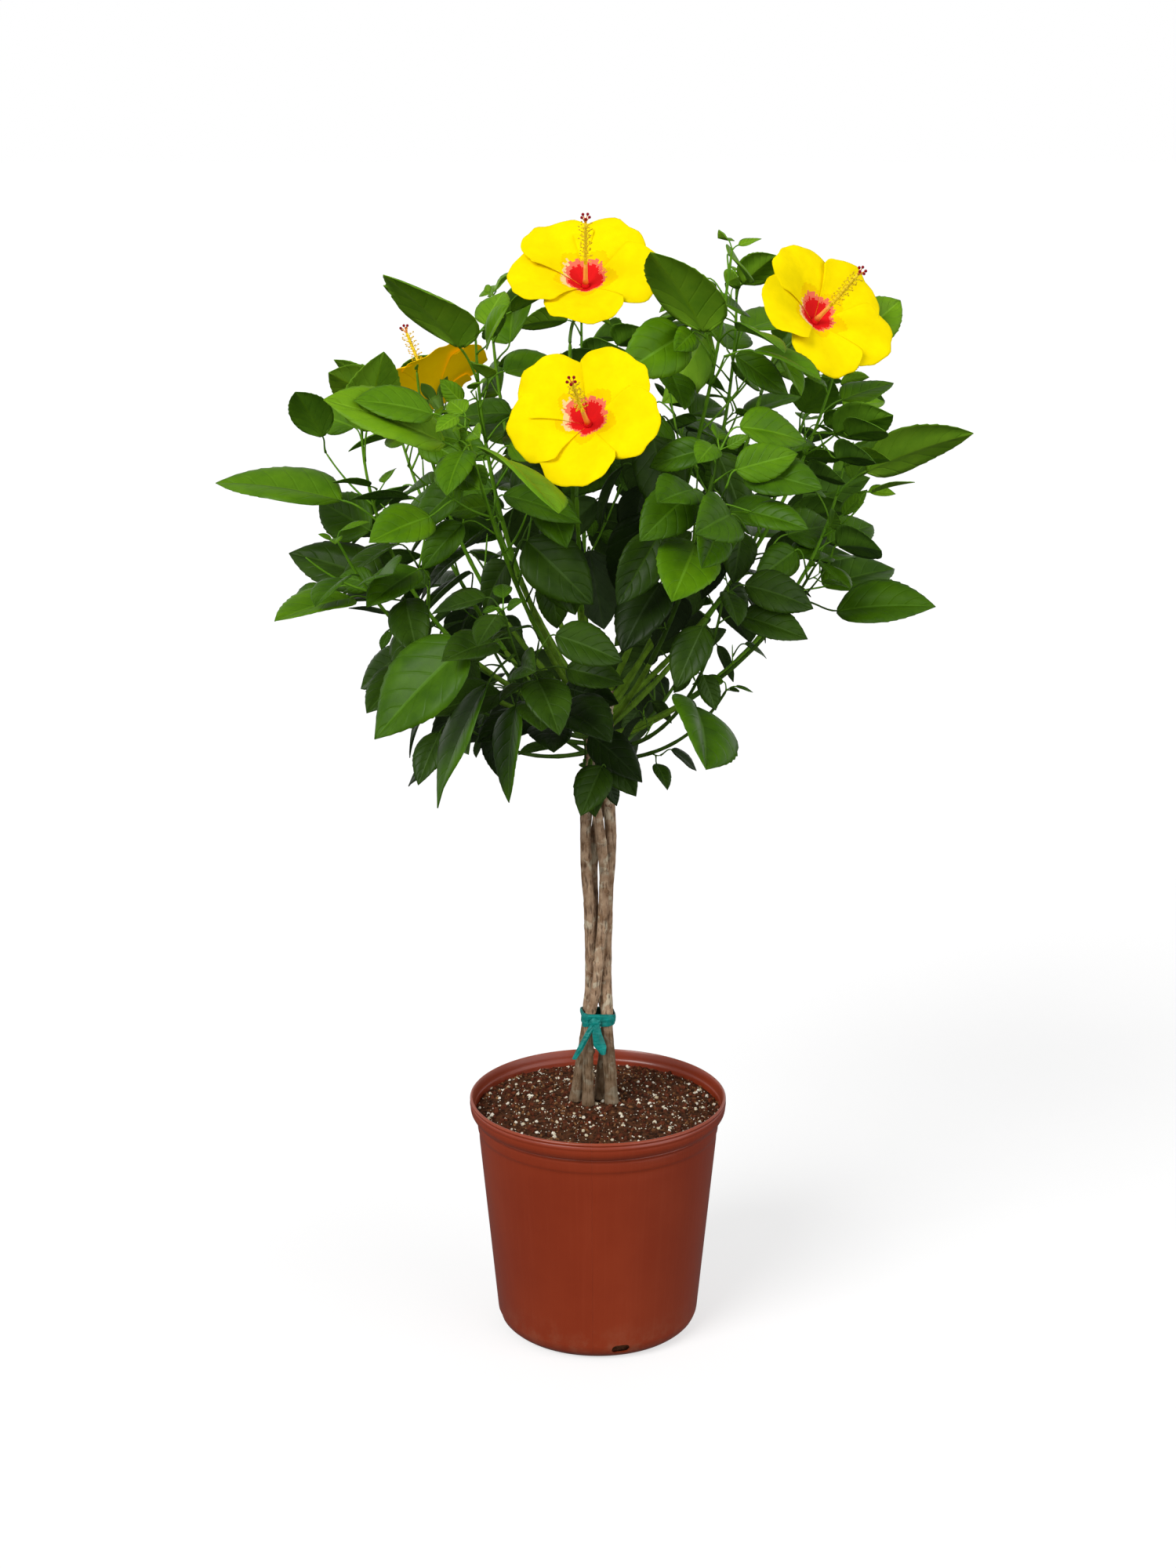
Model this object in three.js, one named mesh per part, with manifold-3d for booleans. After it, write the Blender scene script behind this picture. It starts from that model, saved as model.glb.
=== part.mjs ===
// A hibiscus grown as a standard: four braided stems in a nursery pot carry a crown of leafy
// shoots and four blooms. Millimetres, +Z up. The origin is the centre of the pot's flat
// underside and the show side faces -Y.
import * as THREE from 'three';
import { mergeVertices } from 'three/addons/utils/BufferGeometryUtils.js';
import Module from 'manifold-3d';

const wasm = await Module();
wasm.setup();

// ---------------------------------------------------------------- driving sizes
const GAP = 0.3;                    // clearance between pieces that touch

const POT_SIDES = 30;
const POT_HEIGHT = 241;
const POT_RIM_RADIUS = 127;
const POT_WALL = 2.3;
const POT_FLOOR = 3;
const DRAIN = { count: 4, first: 283, width: 18, height: 9.5, z: 13 };

const SOIL_TOP = 233;               // level patch that the stems stand on
const SOIL_EDGE = 225.4;            // soil level at the pot wall

// the four stems wind a quarter turn one way, back again to the tie, then splay to their feet
const STRAND_RADII = [5.4, 5.8, 4.9, 5.9];
const STRAND_SIDES = 7;
const STRAND_STEP = 18;
const BRAID_TOP = 575;              // the stems part here and lean out to their tips
const HEAD_TOP = 655;
const TIE_HEIGHT = 322;
const BRAID_TWIST = 75;             // degrees, at the middle of the braid
const FOOT_TWIST = 28;
// height, half width and half depth of the ring that the stems' middles stand on
const BRAID = [
  [SOIL_TOP, 18.5, 9.5], [TIE_HEIGHT - 6, 12.5, 9], [TIE_HEIGHT + 6, 12, 9], [345, 8.6, 10],
  [371, 6.8, 10.8], [400, 7.8, 10.2], [440, 10, 9], [480, 13, 8.8], [530, 11.5, 8.8],
  [BRAID_TOP, 9.5, 8.8],
];
const FOOT_FLARE = 1.4;
const FOOT_SHIFT = -4;              // the feet stand a little off the pot's middle
const HEAD_SPREAD = 15;             // distance of each stem tip from the axis

const TIE = { width: 12, wall: 1, knot: 8, sides: 20 };
const GOLDEN = 137.5;               // degrees from one leaf to the next round a stem

// leafy shoots: heading and rise in degrees, lengths in millimetres. A large leaf is given by its
// share along the shoot, heading, rise, roll and length. The leaves numbered in fallen have dropped.
const SHOOT = {
  bare: 0.32, gap: 25, leaf: 96, twig: 75, droop: 30, young: 0.8, large: [], fallen: [],
};
const LOW = { bare: 0, young: 0.2, twig: 60 };
const SHOOTS = [
  { name: 'far_left', az: 189, rise: [18, 92], length: 390, leaf: 102, droop: 13, seed: 37,
    large: [[0.6, 171, 13, 5, 121], [0.82, 304, 70, -60, 84]], fallen: [11, 13, 14, 16, 17, 19] },
  { name: 'left_mid', az: 212, rise: [14, 62], length: 340,
    leaf: 102, droop: 35, young: 0.5, seed: 12,
    large: [[0.7, 224, 0, -20, 84]], fallen: [10, 13, 14, 16, 17] },
  { name: 'front_left', az: 227, rise: [48, 88], length: 390,
    leaf: 98, droop: 20, bare: 0.42, young: 1, seed: 68,
    large: [[0.82, 232, 42, -20, 117]], fallen: [11, 14, 15, 16, 19] },
  { name: 'left_low', ...LOW, az: 197, rise: [8, 57], length: 230, leaf: 100, droop: 65, seed: 59,
    fallen: [14, 16] },
  { name: 'left_hang', ...LOW, az: 215, rise: [-5, 43], length: 160, leaf: 100, droop: 70, seed: 80,
    fallen: [4, 6] },
  { name: 'left_top', az: 154, rise: [62, 87], length: 380, leaf: 100, droop: 3, seed: 34,
    fallen: [19, 20] },
  { name: 'left_back', az: 180, rise: [42, 86], length: 370, leaf: 96, droop: 37, seed: 50,
    fallen: [11] },
  { name: 'leafy_top', az: 317, rise: [60, 82], length: 440,
    leaf: 108, droop: 60, young: 0.7, seed: 89,
    large: [[0.65, 232, 49, 55, 108], [0.82, 119, -50, 20, 94]], fallen: [30, 31, 32] },
  { name: 'right_top', az: 26, rise: [52, 92], length: 440, leaf: 88, droop: 25, young: 0.9, seed: 58,
    fallen: [28, 29, 30] },
  { name: 'right_gap', az: 356, rise: [40, 77], length: 410,
    leaf: 84, droop: 35, young: 0.7, seed: 37, fallen: [15] },
  { name: 'far_right', az: 2, rise: [20, 80], length: 360, leaf: 104, droop: 5, seed: 88,
    large: [[0.88, 4, 25, -45, 105]], fallen: [2, 4, 10, 12, 16] },
  { name: 'right_mid', az: 343, rise: [20, 63], length: 270,
    leaf: 104, droop: 35, young: 0.4, seed: 97, fallen: [4, 5, 6, 10] },
  { name: 'right_low', ...LOW, az: 328, rise: [5, 60], length: 160, leaf: 98, droop: 35, seed: 75,
    fallen: [5, 7] },
  { name: 'front_mid_left', az: 247, rise: [36, 62], length: 400,
    leaf: 94, droop: 60, young: 0.6, seed: 12,
    large: [[0.85, 204, 27, 10, 109], [0.88, 304, -10, -60, 114]],
    fallen: [6, 12, 19, 24] },
  { name: 'front_mid_right', az: 296, rise: [36, 71], length: 360,
    leaf: 94, droop: 40, young: 0.4, seed: 41,
    large: [[0.64, 256, -20, 0, 84]] },
  { name: 'front_low_left', ...LOW, az: 253, rise: [10, 58], length: 310,
    leaf: 92, droop: 20, gap: 19, seed: 67,
    large: [[0.94, 192, -40, 0, 114], [0.82, 200, -59, 40, 114], [0.7, 239, -70, 40, 84]],
    fallen: [12, 23, 28, 30, 33] },
  { name: 'front_low_right', ...LOW, az: 303, rise: [10, 77], length: 270,
    leaf: 92, droop: 55, gap: 19, seed: 20,
    large: [[0.55, 277, -10, -20, 112]], fallen: [6, 7, 9, 10, 11, 13, 14, 15] },
  { name: 'front_low', ...LOW, az: 267, rise: [-15, 43], length: 130,
    leaf: 96, droop: 55, gap: 17, seed: 51, fallen: [9, 11] },
  { name: 'back_left', az: 133, rise: [22, 70], length: 440, leaf: 96, droop: 55, seed: 10,
    fallen: [17, 21, 24] },
  { name: 'back', az: 92, rise: [36, 84], length: 460, leaf: 96, droop: 60, seed: 83,
    fallen: [26] },
  { name: 'back_right', az: 44, rise: [24, 70], length: 440, leaf: 96, droop: 20, seed: 61 },
  { name: 'back_low_left', ...LOW, az: 130, rise: [8, 58], length: 220, leaf: 98, droop: 45, seed: 77 },
  { name: 'back_low_right', ...LOW, az: 55, rise: [8, 55], length: 230, leaf: 98, droop: 70, seed: 54,
    fallen: [8, 11, 13] },
];

// blooms: where the rim's middle lies, which way they face, the bearings of their petals, and
// their shoot from the trunk
const BLOOMS = [
  { name: 'top', az: 244, rise: [78, 90], length: 330,
    at: [-12, -30, 1046], face: [0, -0.64, 0.77], radius: 70, petals: [11, 87, 174, 239, 307] },
  { name: 'front', az: 266, rise: [50, 66], length: 250,
    at: [-14, -190, 934], face: [-0.18, -0.84, 0.51], radius: 66, petals: [19, 87, 171, 233, 322] },
  { name: 'right', az: 340, rise: [52, 76], length: 330,
    at: [204, -60, 1012], face: [0.47, -0.67, 0.57], radius: 68, petals: [66, 139, 205, 284, 353] },
  { name: 'rear', az: 150, rise: [50, 74], length: 300,
    at: [-163, 60, 938], face: [-0.4, 0.5, 0.75], radius: 62, petals: [36, 108, 180, 252, 324] },
];
const BLOOM = { depth: 26, thick: 1.4, notch: 0.22, ruffle: 3, column: 58, stalk: 1.6, room: 120 };

const COLOURS = {
  pot: ['#7f301c', 0.35], soil: ['#3f2a20', 0.95], tape: ['#14807a', 0.5], bark: ['#8c7869', 0.85],
  bough: ['#5f7a35', 0.7], leaf: ['#37641c', 0.45], petal: ['#fff200', 0.6],
};

// ---------------------------------------------------------------- vectors
const add = (a, b, k = 1) => [a[0] + b[0] * k, a[1] + b[1] * k, a[2] + b[2] * k];
const dot = (a, b) => a[0] * b[0] + a[1] * b[1] + a[2] * b[2];
const cross = (a, b) => [
  a[1] * b[2] - a[2] * b[1], a[2] * b[0] - a[0] * b[2], a[0] * b[1] - a[1] * b[0],
];
const size = (a) => Math.sqrt(dot(a, a));
const unit = (a) => add([0, 0, 0], a, 1 / size(a));
const mix = (a, b, t) => add(a, add(b, a, -1), t);
const rad = (degrees) => degrees * Math.PI / 180;
const heading = (az, el) => [Math.cos(el) * Math.cos(az), Math.cos(el) * Math.sin(az), Math.sin(el)];
const UP = [0, 0, 1];

// Two directions square to d, the first one level.
function across(d) {
  const u = unit(cross(d, [0.001, 0, 1]));
  return [u, cross(d, u)];
}

// Seeded numbers from 0 to 1: the same seed and index always give the same run.
function draws(seed, index) {
  let state = (seed * 2654435761 + index * 40503 + 12345) % 4294967296;
  const next = () => {
    state = (state * 1664525 + 1013904223) % 4294967296;
    return state / 4294967296;
  };
  next();
  next();
  next();
  return next;
}

// ---------------------------------------------------------------- solids
function solidOf(geometry) {
  const bare = geometry.clone();
  bare.deleteAttribute('normal');
  bare.deleteAttribute('uv');
  const merged = mergeVertices(bare, 1e-4);
  const mesh = new wasm.Mesh({
    numProp: 3,
    vertProperties: merged.attributes.position.array,
    triVerts: new Uint32Array(merged.index.array),
  });
  return new wasm.Manifold(mesh);
}

function geometryOf(solid) {
  const mesh = solid.getMesh();
  const geometry = new THREE.BufferGeometry();
  const points = new Float32Array(mesh.vertProperties);
  geometry.setAttribute('position', new THREE.BufferAttribute(points, 3));
  geometry.setIndex(new THREE.BufferAttribute(new Uint32Array(mesh.triVerts), 1));
  geometry.computeVertexNormals();
  return geometry;
}

// The largest body of a solid: hollows sealed by fusing are filled and loose scraps dropped.
function mainBody(solid) {
  const bodies = solid.simplify(0.04).decompose();
  return bodies.reduce((best, body) => (body.volume() > best.volume() ? body : best));
}

function shell(points, faces) {
  const geometry = new THREE.BufferGeometry();
  const flat = new Float32Array(points.flat());
  geometry.setAttribute('position', new THREE.BufferAttribute(flat, 3));
  geometry.setIndex(faces.flat());
  return geometry;
}

// A closed skin over rings of points, each ring with the same number: with flat ends, or
// joined from the last ring round to the first.
function skinOver(rings, joined = false) {
  const sides = rings[0].length;
  const last = (rings.length - 1) * sides;
  const faces = [];
  for (let i = 0; i < rings.length - (joined ? 0 : 1); i++) {
    const next = ((i + 1) % rings.length) * sides;
    for (let k = 0; k < sides; k++) {
      const turn = (k + 1) % sides;
      const here = i * sides;
      faces.push([here + k, here + turn, next + turn], [here + k, next + turn, next + k]);
    }
  }
  for (let k = 1; !joined && k < sides - 1; k++) {
    faces.push([0, k + 1, k], [last, last + k, last + k + 1]);
  }
  return shell(rings.flat(), faces);
}

// A tapering limb along a path, its rings square to the path.
function limb(path, from, to, sides) {
  const rings = path.map((p, i) => {
    const d = unit(add(path[Math.min(i + 1, path.length - 1)], path[Math.max(i - 1, 0)], -1));
    const [u, v] = across(d);
    const r = from + (to - from) * i / (path.length - 1);
    return Array.from({ length: sides }, (_, k) => {
      const a = 2 * Math.PI * k / sides;
      return add(add(p, u, r * Math.cos(a)), v, r * Math.sin(a));
    });
  });
  return skinOver(rings);
}

function lathe(profile, sides) {
  const points = profile.map(([r, z]) => new THREE.Vector2(r, z));
  return new THREE.LatheGeometry(points, sides).rotateX(Math.PI / 2);
}

const group = new THREE.Group();
group.name = 'hibiscus_standard';

function place(name, geometry, [colour, roughness]) {
  const material = new THREE.MeshStandardMaterial({ color: colour, roughness, metalness: 0 });
  const mesh = new THREE.Mesh(geometry, material);
  mesh.name = name;
  group.add(mesh);
}

// ---------------------------------------------------------------- pot and soil
// The wall tapers to a rounded foot and ends in a short rim band that stands proud of it.
const POT_OUTSIDE = [
  [0, 0], [83, 0], [91, 2.5], [97, 8], [100, 15], [117.4, 197], [119.2, 220.8], [123.4, 222.8],
  [126.2, 229.5], [POT_RIM_RADIUS, 235], [126.6, 239], [124.8, POT_HEIGHT],
];
const POT_INSIDE = [
  [121.8, 231], [120.6, 225], [116.8, 219.5], [117.4 - POT_WALL, 197], [100 - POT_WALL, 15],
  [94.6, 9], [89, 5], [82, POT_FLOOR], [0, POT_FLOOR],
];

function pot() {
  let solid = solidOf(lathe([...POT_OUTSIDE, [123, 239.6], ...POT_INSIDE], POT_SIDES));
  const slot = new THREE.Shape();
  const half = DRAIN.width / 2 - DRAIN.height / 2;
  slot.absarc(half, 0, DRAIN.height / 2, -Math.PI / 2, Math.PI / 2, false);
  slot.absarc(-half, 0, DRAIN.height / 2, Math.PI / 2, 3 * Math.PI / 2, false);
  for (let k = 0; k < DRAIN.count; k++) {
    const hole = new THREE.ExtrudeGeometry(slot, { depth: 30, bevelEnabled: false, curveSegments: 3 });
    hole.rotateX(Math.PI / 2).translate(0, 110, DRAIN.z);
    hole.rotateZ(rad(DRAIN.first - 90 + 360 * k / DRAIN.count));
    solid = solid.subtract(solidOf(hole));
  }
  return geometryOf(mainBody(solid));
}

const SOIL_PROFILE = [
  [0, POT_FLOOR + GAP], [81.6, POT_FLOOR + GAP], [94.1, 9.6], [97.2, 15.4], [114.5, 197],
  [116.3, 218.9], [119.9, SOIL_EDGE], [104, 227.8], [46, SOIL_TOP], [0, SOIL_TOP],
];

place('pot', pot(), COLOURS.pot);
place('soil', lathe(SOIL_PROFILE, POT_SIDES), COLOURS.soil);

// ---------------------------------------------------------------- trunk
const ramp = (z, rows) => {
  let i = 1;
  while (i < rows.length - 1 && z > rows[i][0]) i++;
  const [z0, v0] = rows[i - 1];
  const [z1, v1] = rows[i];
  return v0 + (v1 - v0) * Math.min(1, Math.max(0, (z - z0) / (z1 - z0)));
};

// Thickness of one stem: flared at the foot, a little thinner at the head.
const strandRadius = (k, z) => {
  const flare = FOOT_FLARE * Math.exp(-(z - SOIL_TOP) / 12);
  const taper = [[SOIL_TOP, 1.12], [TIE_HEIGHT, 1], [BRAID_TOP, 0.96], [HEAD_TOP, 0.8]];
  return STRAND_RADII[k] * ramp(z, taper) + flare;
};

// Middles of the four stems at one height.
function strandsAt(z) {
  const down = (BRAID_TOP - Math.min(z, BRAID_TOP)) / (BRAID_TOP - TIE_HEIGHT);
  const splay = ramp(z, [[SOIL_TOP, FOOT_TWIST], [TIE_HEIGHT, 0]]);
  const turn = 45 + BRAID_TWIST * Math.sin(Math.PI * Math.min(1, down)) + splay;
  const wide = ramp(z, BRAID.map(([h, w]) => [h, w]));
  const deep = ramp(z, BRAID.map(([h, , d]) => [h, d]));
  const shift = ramp(z, [[SOIL_TOP, FOOT_SHIFT], [TIE_HEIGHT, 0]]);
  const lean = Math.max(0, z - BRAID_TOP) / (HEAD_TOP - BRAID_TOP);
  return STRAND_RADII.map((_, k) => {
    const a = rad(turn + 90 * k);
    const x = wide * Math.cos(a);
    const y = deep * Math.sin(a);
    const out = 1 + (HEAD_SPREAD / Math.hypot(x, y) - 1) * lean;
    return [x * out + shift, y * out];
  });
}

function strand(k, grow) {
  const steps = Math.round((HEAD_TOP - SOIL_TOP) / STRAND_STEP);
  const rings = [];
  for (let i = 0; i <= steps; i++) {
    const z = SOIL_TOP + GAP + (HEAD_TOP - SOIL_TOP - GAP) * i / steps;
    const [x, y] = strandsAt(z)[k];
    const tip = i === steps ? 0.55 : 1;
    const r = strandRadius(k, z) * tip + grow;
    rings.push(Array.from({ length: STRAND_SIDES }, (_, n) => {
      const a = 2 * Math.PI * (n + 0.5) / STRAND_SIDES;
      return [x + r * Math.cos(a), y + r * Math.sin(a), z];
    }));
  }
  return skinOver(rings);
}

STRAND_RADII.forEach((_, k) => place(`trunk_stem_${k + 1}`, strand(k, 0), COLOURS.bark));

// ---------------------------------------------------------------- tie
// A band of tape round the braid, with a knot in front and two loose tails.
function tie() {
  const low = TIE_HEIGHT - TIE.width / 2;
  // outermost point of the four stems towards one side
  const edge = (a, z, off) => {
    const reach = strandsAt(z).map(([x, y], k) => [x, y, strandRadius(k, z) + off]);
    const far = ([x, y, r]) => x * Math.cos(a) + y * Math.sin(a) + r;
    const [x, y, r] = reach.reduce((best, stem) => (far(stem) > far(best) ? stem : best));
    return [x + r * Math.cos(a), y + r * Math.sin(a), z];
  };
  const [inside, outside] = [3 * GAP, 3 * GAP + TIE.wall];
  const sections = Array.from({ length: TIE.sides }, (_, k) => {
    const a = 2 * Math.PI * (k + 0.5) / TIE.sides;
    const high = low + TIE.width;
    const corners = [[low, outside], [low, inside], [high, inside], [high, outside]];
    return corners.map(([z, off]) => edge(a, z, off));
  });
  const front = edge(-Math.PI / 2, TIE_HEIGHT, inside)[1];
  const knot = new THREE.SphereGeometry(TIE.knot / 2, 7, 5);
  knot.scale(1.3, 0.7, 1).translate(-3, front - 2.5, TIE_HEIGHT);
  // a tail from its free end up to the knot: places as [x, out from the band, below the knot]
  const tail = (places, from, to) => skinOver(places.map(([x, out, below], i) => {
    const half = (from + (to - from) * i / (places.length - 1)) / 2;
    const [y, z] = [front - out, TIE_HEIGHT - below];
    const slant = 0.6;
    return [
      [x - half, y, z], [x + half, y - slant, z],
      [x + half, y - slant + TIE.wall, z], [x - half, y + TIE.wall, z],
    ];
  }));
  const left = tail([[-23, 6.5, 38], [-17, 6, 26], [-10, 5, 12], [-3, 2.6, 0]], 4, 6);
  const right = tail([[5, 6.5, 33], [2, 6, 24], [-1, 5, 12], [-2, 2.6, 0]], 13, 7);
  const parts = [skinOver(sections, true), knot, left, right];
  return geometryOf(mainBody(wasm.Manifold.union(parts.map(solidOf))));
}
place('tie_tape', tie(), COLOURS.tape);

// ---------------------------------------------------------------- paths of the shoots
const PATH_STEPS = 10;
const HEAD_LOW = 585;               // lowest shoot root
const HEAD_HIGH = 652;

const between = (a, b) => Math.abs(((a - b + 540) % 360) - 180);

// Each shoot leaves the stem tip that lies nearest its heading. On one stem the flattest
// shoots leave lowest, so that none crosses the one above.
function rooted(rows) {
  const tips = strandsAt(HEAD_TOP).map(([x, y]) => Math.atan2(y, x) * 180 / Math.PI);
  const nearest = (az) => tips.reduce((best, tip, k) => (
    between(az, tip) < between(az, tips[best]) ? k : best
  ), 0);
  const all = rows.map((row) => ({ ...row, stem: nearest(row.az) }));
  tips.forEach((_, k) => {
    const own = all.filter((row) => row.stem === k).sort((a, b) => a.rise[0] - b.rise[0]);
    own.forEach((row, j) => {
      row.z = HEAD_LOW + (HEAD_HIGH - HEAD_LOW) * j / Math.max(5, own.length - 1);
    });
  });
  return all;
}

// A shoot keeps its heading and lifts steadily from its first rise to its last.
function pathOf(row) {
  const [x, y] = strandsAt(row.z)[row.stem];
  const path = [[x, y, row.z]];
  for (let i = 0; i < PATH_STEPS; i++) {
    const rise = row.rise[0] + (row.rise[1] - row.rise[0]) * (i + 0.5) / PATH_STEPS;
    path.push(add(path[i], heading(rad(row.az), rad(rise)), row.length / PATH_STEPS));
  }
  return path;
}

// Point and direction at a distance along a path.
function along(path, distance) {
  let left = distance;
  for (let i = 0; ; i++) {
    const step = add(path[i + 1], path[i], -1);
    const length = size(step);
    if (left <= length || i === path.length - 2) {
      return [mix(path[i], path[i + 1], left / length), unit(step), i];
    }
    left -= length;
  }
}

const upTo = (path, distance) => {
  const [end, , i] = along(path, distance);
  return [...path.slice(0, i + 1), end];
};
const beyond = (path, distance) => {
  const [start, , i] = along(path, distance);
  return [start, ...path.slice(i + 1)];
};

// ---------------------------------------------------------------- leaves
// Half width of a blade, as a share of its greatest, along its length.
const BLADE = [
  [0, 0.1], [0.06, 0.42], [0.16, 0.8], [0.28, 1], [0.46, 0.95], [0.66, 0.7], [0.82, 0.36],
  [0.93, 0.13], [1, 0],
];

// Point on a blade at a share of its length and of its half width, lifted off the surface.
// The blade bends down along an arc and its halves fold up from the midrib.
function bladePoint(leaf, t, side, lift = 0) {
  const bend = leaf.curl * t;
  const radius = leaf.length / leaf.curl;
  const up = add(add([0, 0, 0], leaf.normal, Math.cos(bend)), leaf.dir, Math.sin(bend));
  const half = side * ramp(t, BLADE) * leaf.width / 2;
  let point = add(leaf.base, leaf.dir, radius * Math.sin(bend));
  point = add(point, leaf.normal, -radius * (1 - Math.cos(bend)));
  point = add(point, cross(leaf.dir, leaf.normal), half * Math.cos(leaf.fold));
  return add(point, up, Math.abs(half) * Math.sin(leaf.fold) + lift);
}

const SAMPLES = [[1, 0]];
for (let i = 0; i < 9; i++) {
  for (let k = -3; k <= 3; k++) SAMPLES.push([(i + 0.5) / 9, k / 3]);
}

// Squared distance from a point to a segment.
function apart(p, a, b) {
  const run = [b[0] - a[0], b[1] - a[1], b[2] - a[2]];
  const off = [p[0] - a[0], p[1] - a[1], p[2] - a[2]];
  const t = Math.min(1, Math.max(0, dot(off, run) / dot(run, run)));
  const x = off[0] - t * run[0];
  const y = off[1] - t * run[1];
  const z = off[2] - t * run[2];
  return x * x + y * y + z * z;
}

// ---------------------------------------------------------------- the crown's spaces
const LEAF_FLOOR = 548;             // no leaf hangs lower than this
const SPACE_MARGIN = 3;
const LIMB_MARGIN = 4.5;
const LEAF_APART = 5;
const WOOD_APART = 4.5;             // between a blade and its own shoot's stem and twigs
const ATTEMPTS = 8;
const END_LEAF = 2;                 // order of a shoot's end leaves: 0 is the stem's, 1 a twig's

// Stems of the leafy shoots, and every limb that leaves must pass clear of.
function crownOf(shoots, blooms) {
  const stems = shoots.map((row) => beyond(pathOf(row), row.bare * row.length + GAP));
  const limbs = [];
  const addLimb = (path, radius) => {
    for (let i = 1; i < path.length; i++) limbs.push([path[i - 1], path[i], radius]);
  };
  const bare = shoots.filter((row) => row.bare > 0);
  bare.forEach((row) => addLimb(upTo(pathOf(row), row.bare * row.length), 3));
  blooms.forEach((row) => {
    addLimb(pathOf(row), 3);
    addLimb(stalkOf(row), 3);
  });
  for (let k = 0; k < 4; k++) {
    const heights = [480, 510, 540, BRAID_TOP, HEAD_TOP];
    addLimb(heights.map((z) => [...strandsAt(z)[k], z]), strandRadius(k, 500));
  }
  return { shoots, blooms, stems, limbs };
}

// A bloom's own space: its dish, its column and the open room in front of it.
function insideBloom(p, bloom) {
  const from = add(p, bloom.at, -1);
  const ahead = dot(from, bloom.face);
  const off = size(add(from, bloom.face, -ahead));
  if (ahead <= -34 || ahead >= BLOOM.room) return false;
  if (ahead < 12) return off < bloom.radius * ramp(ahead, [[-34, 0.35], [-4, 1]]) + 6;
  return off < bloom.radius * 1.15;
}

function isFree(crown, i, points) {
  const own = crown.stems[i];
  return points.every((p) => {
    if (p[2] < LEAF_FLOOR) return false;
    let mine = Infinity;
    for (let k = 1; k < own.length; k++) mine = Math.min(mine, apart(p, own[k - 1], own[k]));
    const limit = (Math.sqrt(mine) + SPACE_MARGIN) ** 2;
    for (let j = 0; j < crown.stems.length; j++) {
      const other = crown.stems[j];
      for (let k = 1; j !== i && k < other.length; k++) {
        if (apart(p, other[k - 1], other[k]) < limit) return false;
      }
    }
    return !crown.limbs.some(([a, b, r]) => apart(p, a, b) < (r + LIMB_MARGIN) ** 2)
      && !crown.blooms.some((bloom) => insideBloom(p, bloom));
  });
}

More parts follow.
